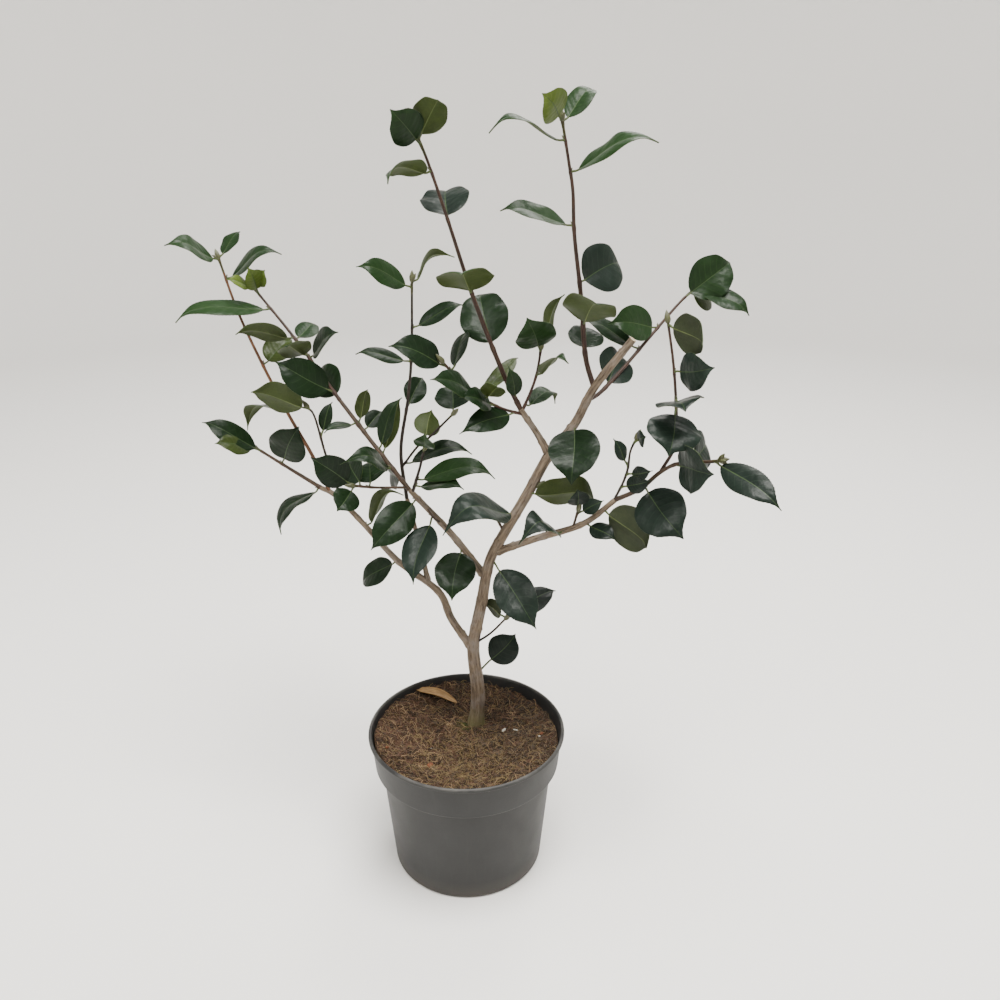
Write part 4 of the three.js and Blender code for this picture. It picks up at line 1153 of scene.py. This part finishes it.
points, faces = [(0, 0, 0)], []
for height_share, radius in BUD_RINGS:
    for j in range(BUD_SIDES):
        turn = 2 * math.pi * j / BUD_SIDES
        overlap = 1 + 0.16 * ((height_share * SCALES + j / BUD_SIDES) % 1)
        points.append((radius * overlap * math.cos(turn), radius * overlap * math.sin(turn), height_share))
points.append((0, 0, 1))
for j in range(BUD_SIDES):
    k = (j + 1) % BUD_SIDES
    faces.append((0, 1 + k, 1 + j))
    for ring in range(len(BUD_RINGS) - 1):
        a = 1 + ring * BUD_SIDES
        faces.append((a + j, a + k, a + BUD_SIDES + k, a + BUD_SIDES + j))
    a = 1 + (len(BUD_RINGS) - 1) * BUD_SIDES
    faces.append((a + j, a + k, len(points) - 1))
one_bud = new_piece("one_bud", points, faces, [bud_scale])

set_buds = new_tree("buds on the shoots", [])
given = add(set_buds, "NodeGroupInput")
aim = add(set_buds, "GeometryNodeInputNamedAttribute", {"Name": "aim"}, data_type="FLOAT_VECTOR")
size = add(set_buds, "GeometryNodeInputNamedAttribute", {"Name": "size"}, data_type="FLOAT")
shape = add(set_buds, "GeometryNodeObjectInfo", {"Object": one_bud})
turned_to = add(set_buds, "FunctionNodeAlignRotationToVector", {"Vector": aim.outputs[0]}, axis="Z")
sat = add(set_buds, "GeometryNodeInstanceOnPoints", {
    "Points": given.outputs["Geometry"], "Instance": shape.outputs["Geometry"],
    "Rotation": turned_to.outputs[0], "Scale": size.outputs[0]})
loose = add(set_buds, "GeometryNodeRealizeInstances", {0: sat.outputs[0]})
finished = add(set_buds, "GeometryNodeSetMaterial", {"Geometry": loose.outputs[0],
                                                     "Material": given.outputs["Finish"]})
add(set_buds, "NodeGroupOutput", {0: finished.outputs[0]})

for limb, lean, reach, length in CLUSTER:
    tip, along, _ = place_on(limb, END)
    bud_places.append((tip - 0.5 * along, heading(lean, reach), length))
seats = new_piece("bud_seats", [tuple(spot * MM) for spot, _, _ in bud_places], [], [bud_scale])
aims = seats.data.attributes.new("aim", "FLOAT_VECTOR", "POINT")
aims.data.foreach_set("vector", np.array([along for _, along, _ in bud_places]).ravel())
sizes = seats.data.attributes.new("size", "FLOAT", "POINT")
sizes.data.foreach_set("value", np.array([length * MM for _, _, length in bud_places]))
buds = grow(seats, set_buds, {"Finish": bud_scale}, "buds")
bpy.data.objects.remove(one_bud)
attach(buds, "root")


# Litter: what has fallen on the soil. A dry leaf, tan and rolled up along its edges, lies behind the
# trunk on the left; bits of dead twig, flakes of pine bark and white grains of perlite lie about.
DRY_LEAF = ((-12, 59), (-58, 75), 14)  # place of its foot and tip on the soil, and its width, mm
DEAD_TWIGS = [  # place of the middle, length, direction and thickness, mm and degrees
    (-63, -33, 17, 24, 1.6), (-16, -11, 13, -50, 1.1), (48, 33, 34, -12, 1.5), (44, 40, 26, 16, 1.2),
    (-41, 24, 15, 70, 0.9), (21, -38, 12, 85, 1.0), (-70, 9, 19, 33, 0.8), (-34, -58, 21, 150, 1.0),
    (60, -20, 16, 120, 0.9), (5, -64, 14, 20, 0.9),
]
GRAINS = [  # place, half sizes in mm and kind
    (36.5, 17, 3.2, 1.4, 1.2, "perlite"), (48, 15, 2.6, 1.0, 0.9, "perlite"),
    (-34, -13, 0.9, 0.7, 0.6, "perlite"), (71, 2, 1.5, 1.0, 0.8, "perlite"),
    (-33, -42, 3.8, 2.6, 1.8, "pine_bark"), (73, 8, 2.6, 2.0, 1.2, "pine_bark"),
    (-75, -24, 2.0, 1.4, 1.0, "pine_bark"),
]
GRAIN_SIDES = 10
TWIG_SEED = 700
GRAIN_SEED = 800

# Each kind is dull and dry: the leaf and the twigs tan-brown with fine streaks along them, the flakes
# of bark orange-brown, and the perlite, a puffed-up volcanic glass, chalky white.
LITTER = {  # shade, light shade, roughness, size of the pattern in mm, how long it is drawn
    "dry_leaf": ("#5d4428", "#8f7148", 0.6, 1.5, 6.0), "dead_twig": ("#2e2119", "#5d4838", 0.8, 0.9, 4.0),
    "perlite": ("#8f8b82", "#bab5aa", 0.8, 1.0, 1.0), "pine_bark": ("#40261a", "#6e4228", 0.8, 1.2, 1.0),
}
litter_looks = {}
for name, (shade, light_shade, roughness, grain_size, drawn) in LITTER.items():
    litter_looks[name], tree = new_material(name, light_shade)
    along = add(tree, "ShaderNodeAttribute", attribute_name="grain").outputs["Vector"]
    fine = noise(tree, drawn_out(tree, along, 1 / drawn), grain_size, 4.0, Roughness=0.65)
    colour = blend(tree, ramp(tree, fine, 0.35, 0.65, 0, 1), shade, light_shade)
    coat(tree, colour, roughness, 0.25, bumps(tree, fine, 0.3 * MM, 0.5))

litter_parts = []
foot, tip, width = DRY_LEAF
foot, tip = (np.array([x, y, soil_height(x, y) + 2.6]) for x, y in (foot, tip))
t, u = np.linspace(0, 1, 30), np.linspace(-1, 1, 13)
ahead = (tip - foot) / np.linalg.norm(tip - foot)
aside = np.cross([0, 0, 1], ahead)
half = width / 2 * np.sin(np.pi * t ** 0.9) ** 0.75 + 0.4
roll = 0.75 + 0.35 * np.sin(5 * t)  # radians that each edge has rolled up
sheet = (foot + np.outer(t, tip - foot))[:, None] + np.zeros((1, len(u), 1))
angle = roll[:, None] * u[None]
sheet = sheet + aside * (half[:, None] * np.sin(angle) / roll[:, None])[..., None]
lift = half[:, None] * (1 - np.cos(angle)) / roll[:, None] + 2.2 * np.sin(np.pi * t)[:, None]
sheet = sheet + np.array([0, 0, 1]) * (lift - 0.3 * np.exp(-(u / 0.08) ** 2))[..., None]
index = np.arange(len(t) * len(u)).reshape(len(t), len(u))
below = index + index.size
faces = []
for i in range(len(t) - 1):
    for j in range(len(u) - 1):
        corners = (index[i, j], index[i + 1, j], index[i + 1, j + 1], index[i, j + 1])
        faces += [corners, tuple(below.flat[k] for k in reversed(corners))]
rim = [*index[0, :-1], *index[:-1, -1], *index[-1, :0:-1], *index[:0:-1, 0]]
faces += [(a, b, below.flat[b], below.flat[a]) for a, b in zip(rim, rim[1:] + rim[:1])]
points = np.concatenate([sheet.reshape(-1, 3), sheet.reshape(-1, 3) - [0, 0, 0.4]])
place = np.stack(np.broadcast_arrays(9 * u[None], 0, 40 * t[:, None]), axis=-1).reshape(-1, 3)
litter_parts.append((points, faces, np.tile(place, (2, 1)), ["dry_leaf"] * len(faces)))

for number, (x, y, length, direction, thickness) in enumerate(DEAD_TWIGS):
    rng = np.random.default_rng(TWIG_SEED + number)
    turn = math.radians(direction)
    run = np.linspace(-0.5, 0.5, 9) * length
    wander = rng.uniform(-0.09, 0.09) * length * np.cos(np.pi * run / length)
    px = x + run * math.cos(turn) - wander * math.sin(turn)
    py = y + run * math.sin(turn) + wander * math.cos(turn)
    pz = soil_height(px, py) + thickness / 2 + 1.7 + rng.uniform(-0.6, 1.2) * run / length
    points, faces, grain = tube(np.stack([px, py, pz], axis=1), thickness / 2 * np.linspace(1.1, 0.7, 9), 8)
    litter_parts.append((points, faces, grain + 50 * number, ["dead_twig"] * len(faces)))

for number, (x, y, wide, deep, high, kind) in enumerate(GRAINS):
    rng = np.random.default_rng(GRAIN_SEED + number)
    ball, faces = turned([(0, -1), (0.6, -0.75), (1, -0.1), (0.8, 0.55), (0, 1)], GRAIN_SIDES)
    ball = np.array(ball) * rng.uniform(0.8, 1.15, (len(ball), 1)) * [wide, deep, high]
    turn = rng.uniform(0, np.pi)
    cos, sin = math.cos(turn), math.sin(turn)
    spun = ball @ np.array([[cos, sin, 0], [-sin, cos, 0], [0, 0, 1]])
    points = spun + [x, y, soil_height(x, y) + 2.0 + 0.5 * high]
    litter_parts.append((points, faces, points, [kind] * len(faces)))
litter = joined_piece("litter", litter_parts, litter_looks, "grain")
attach(litter, "root")
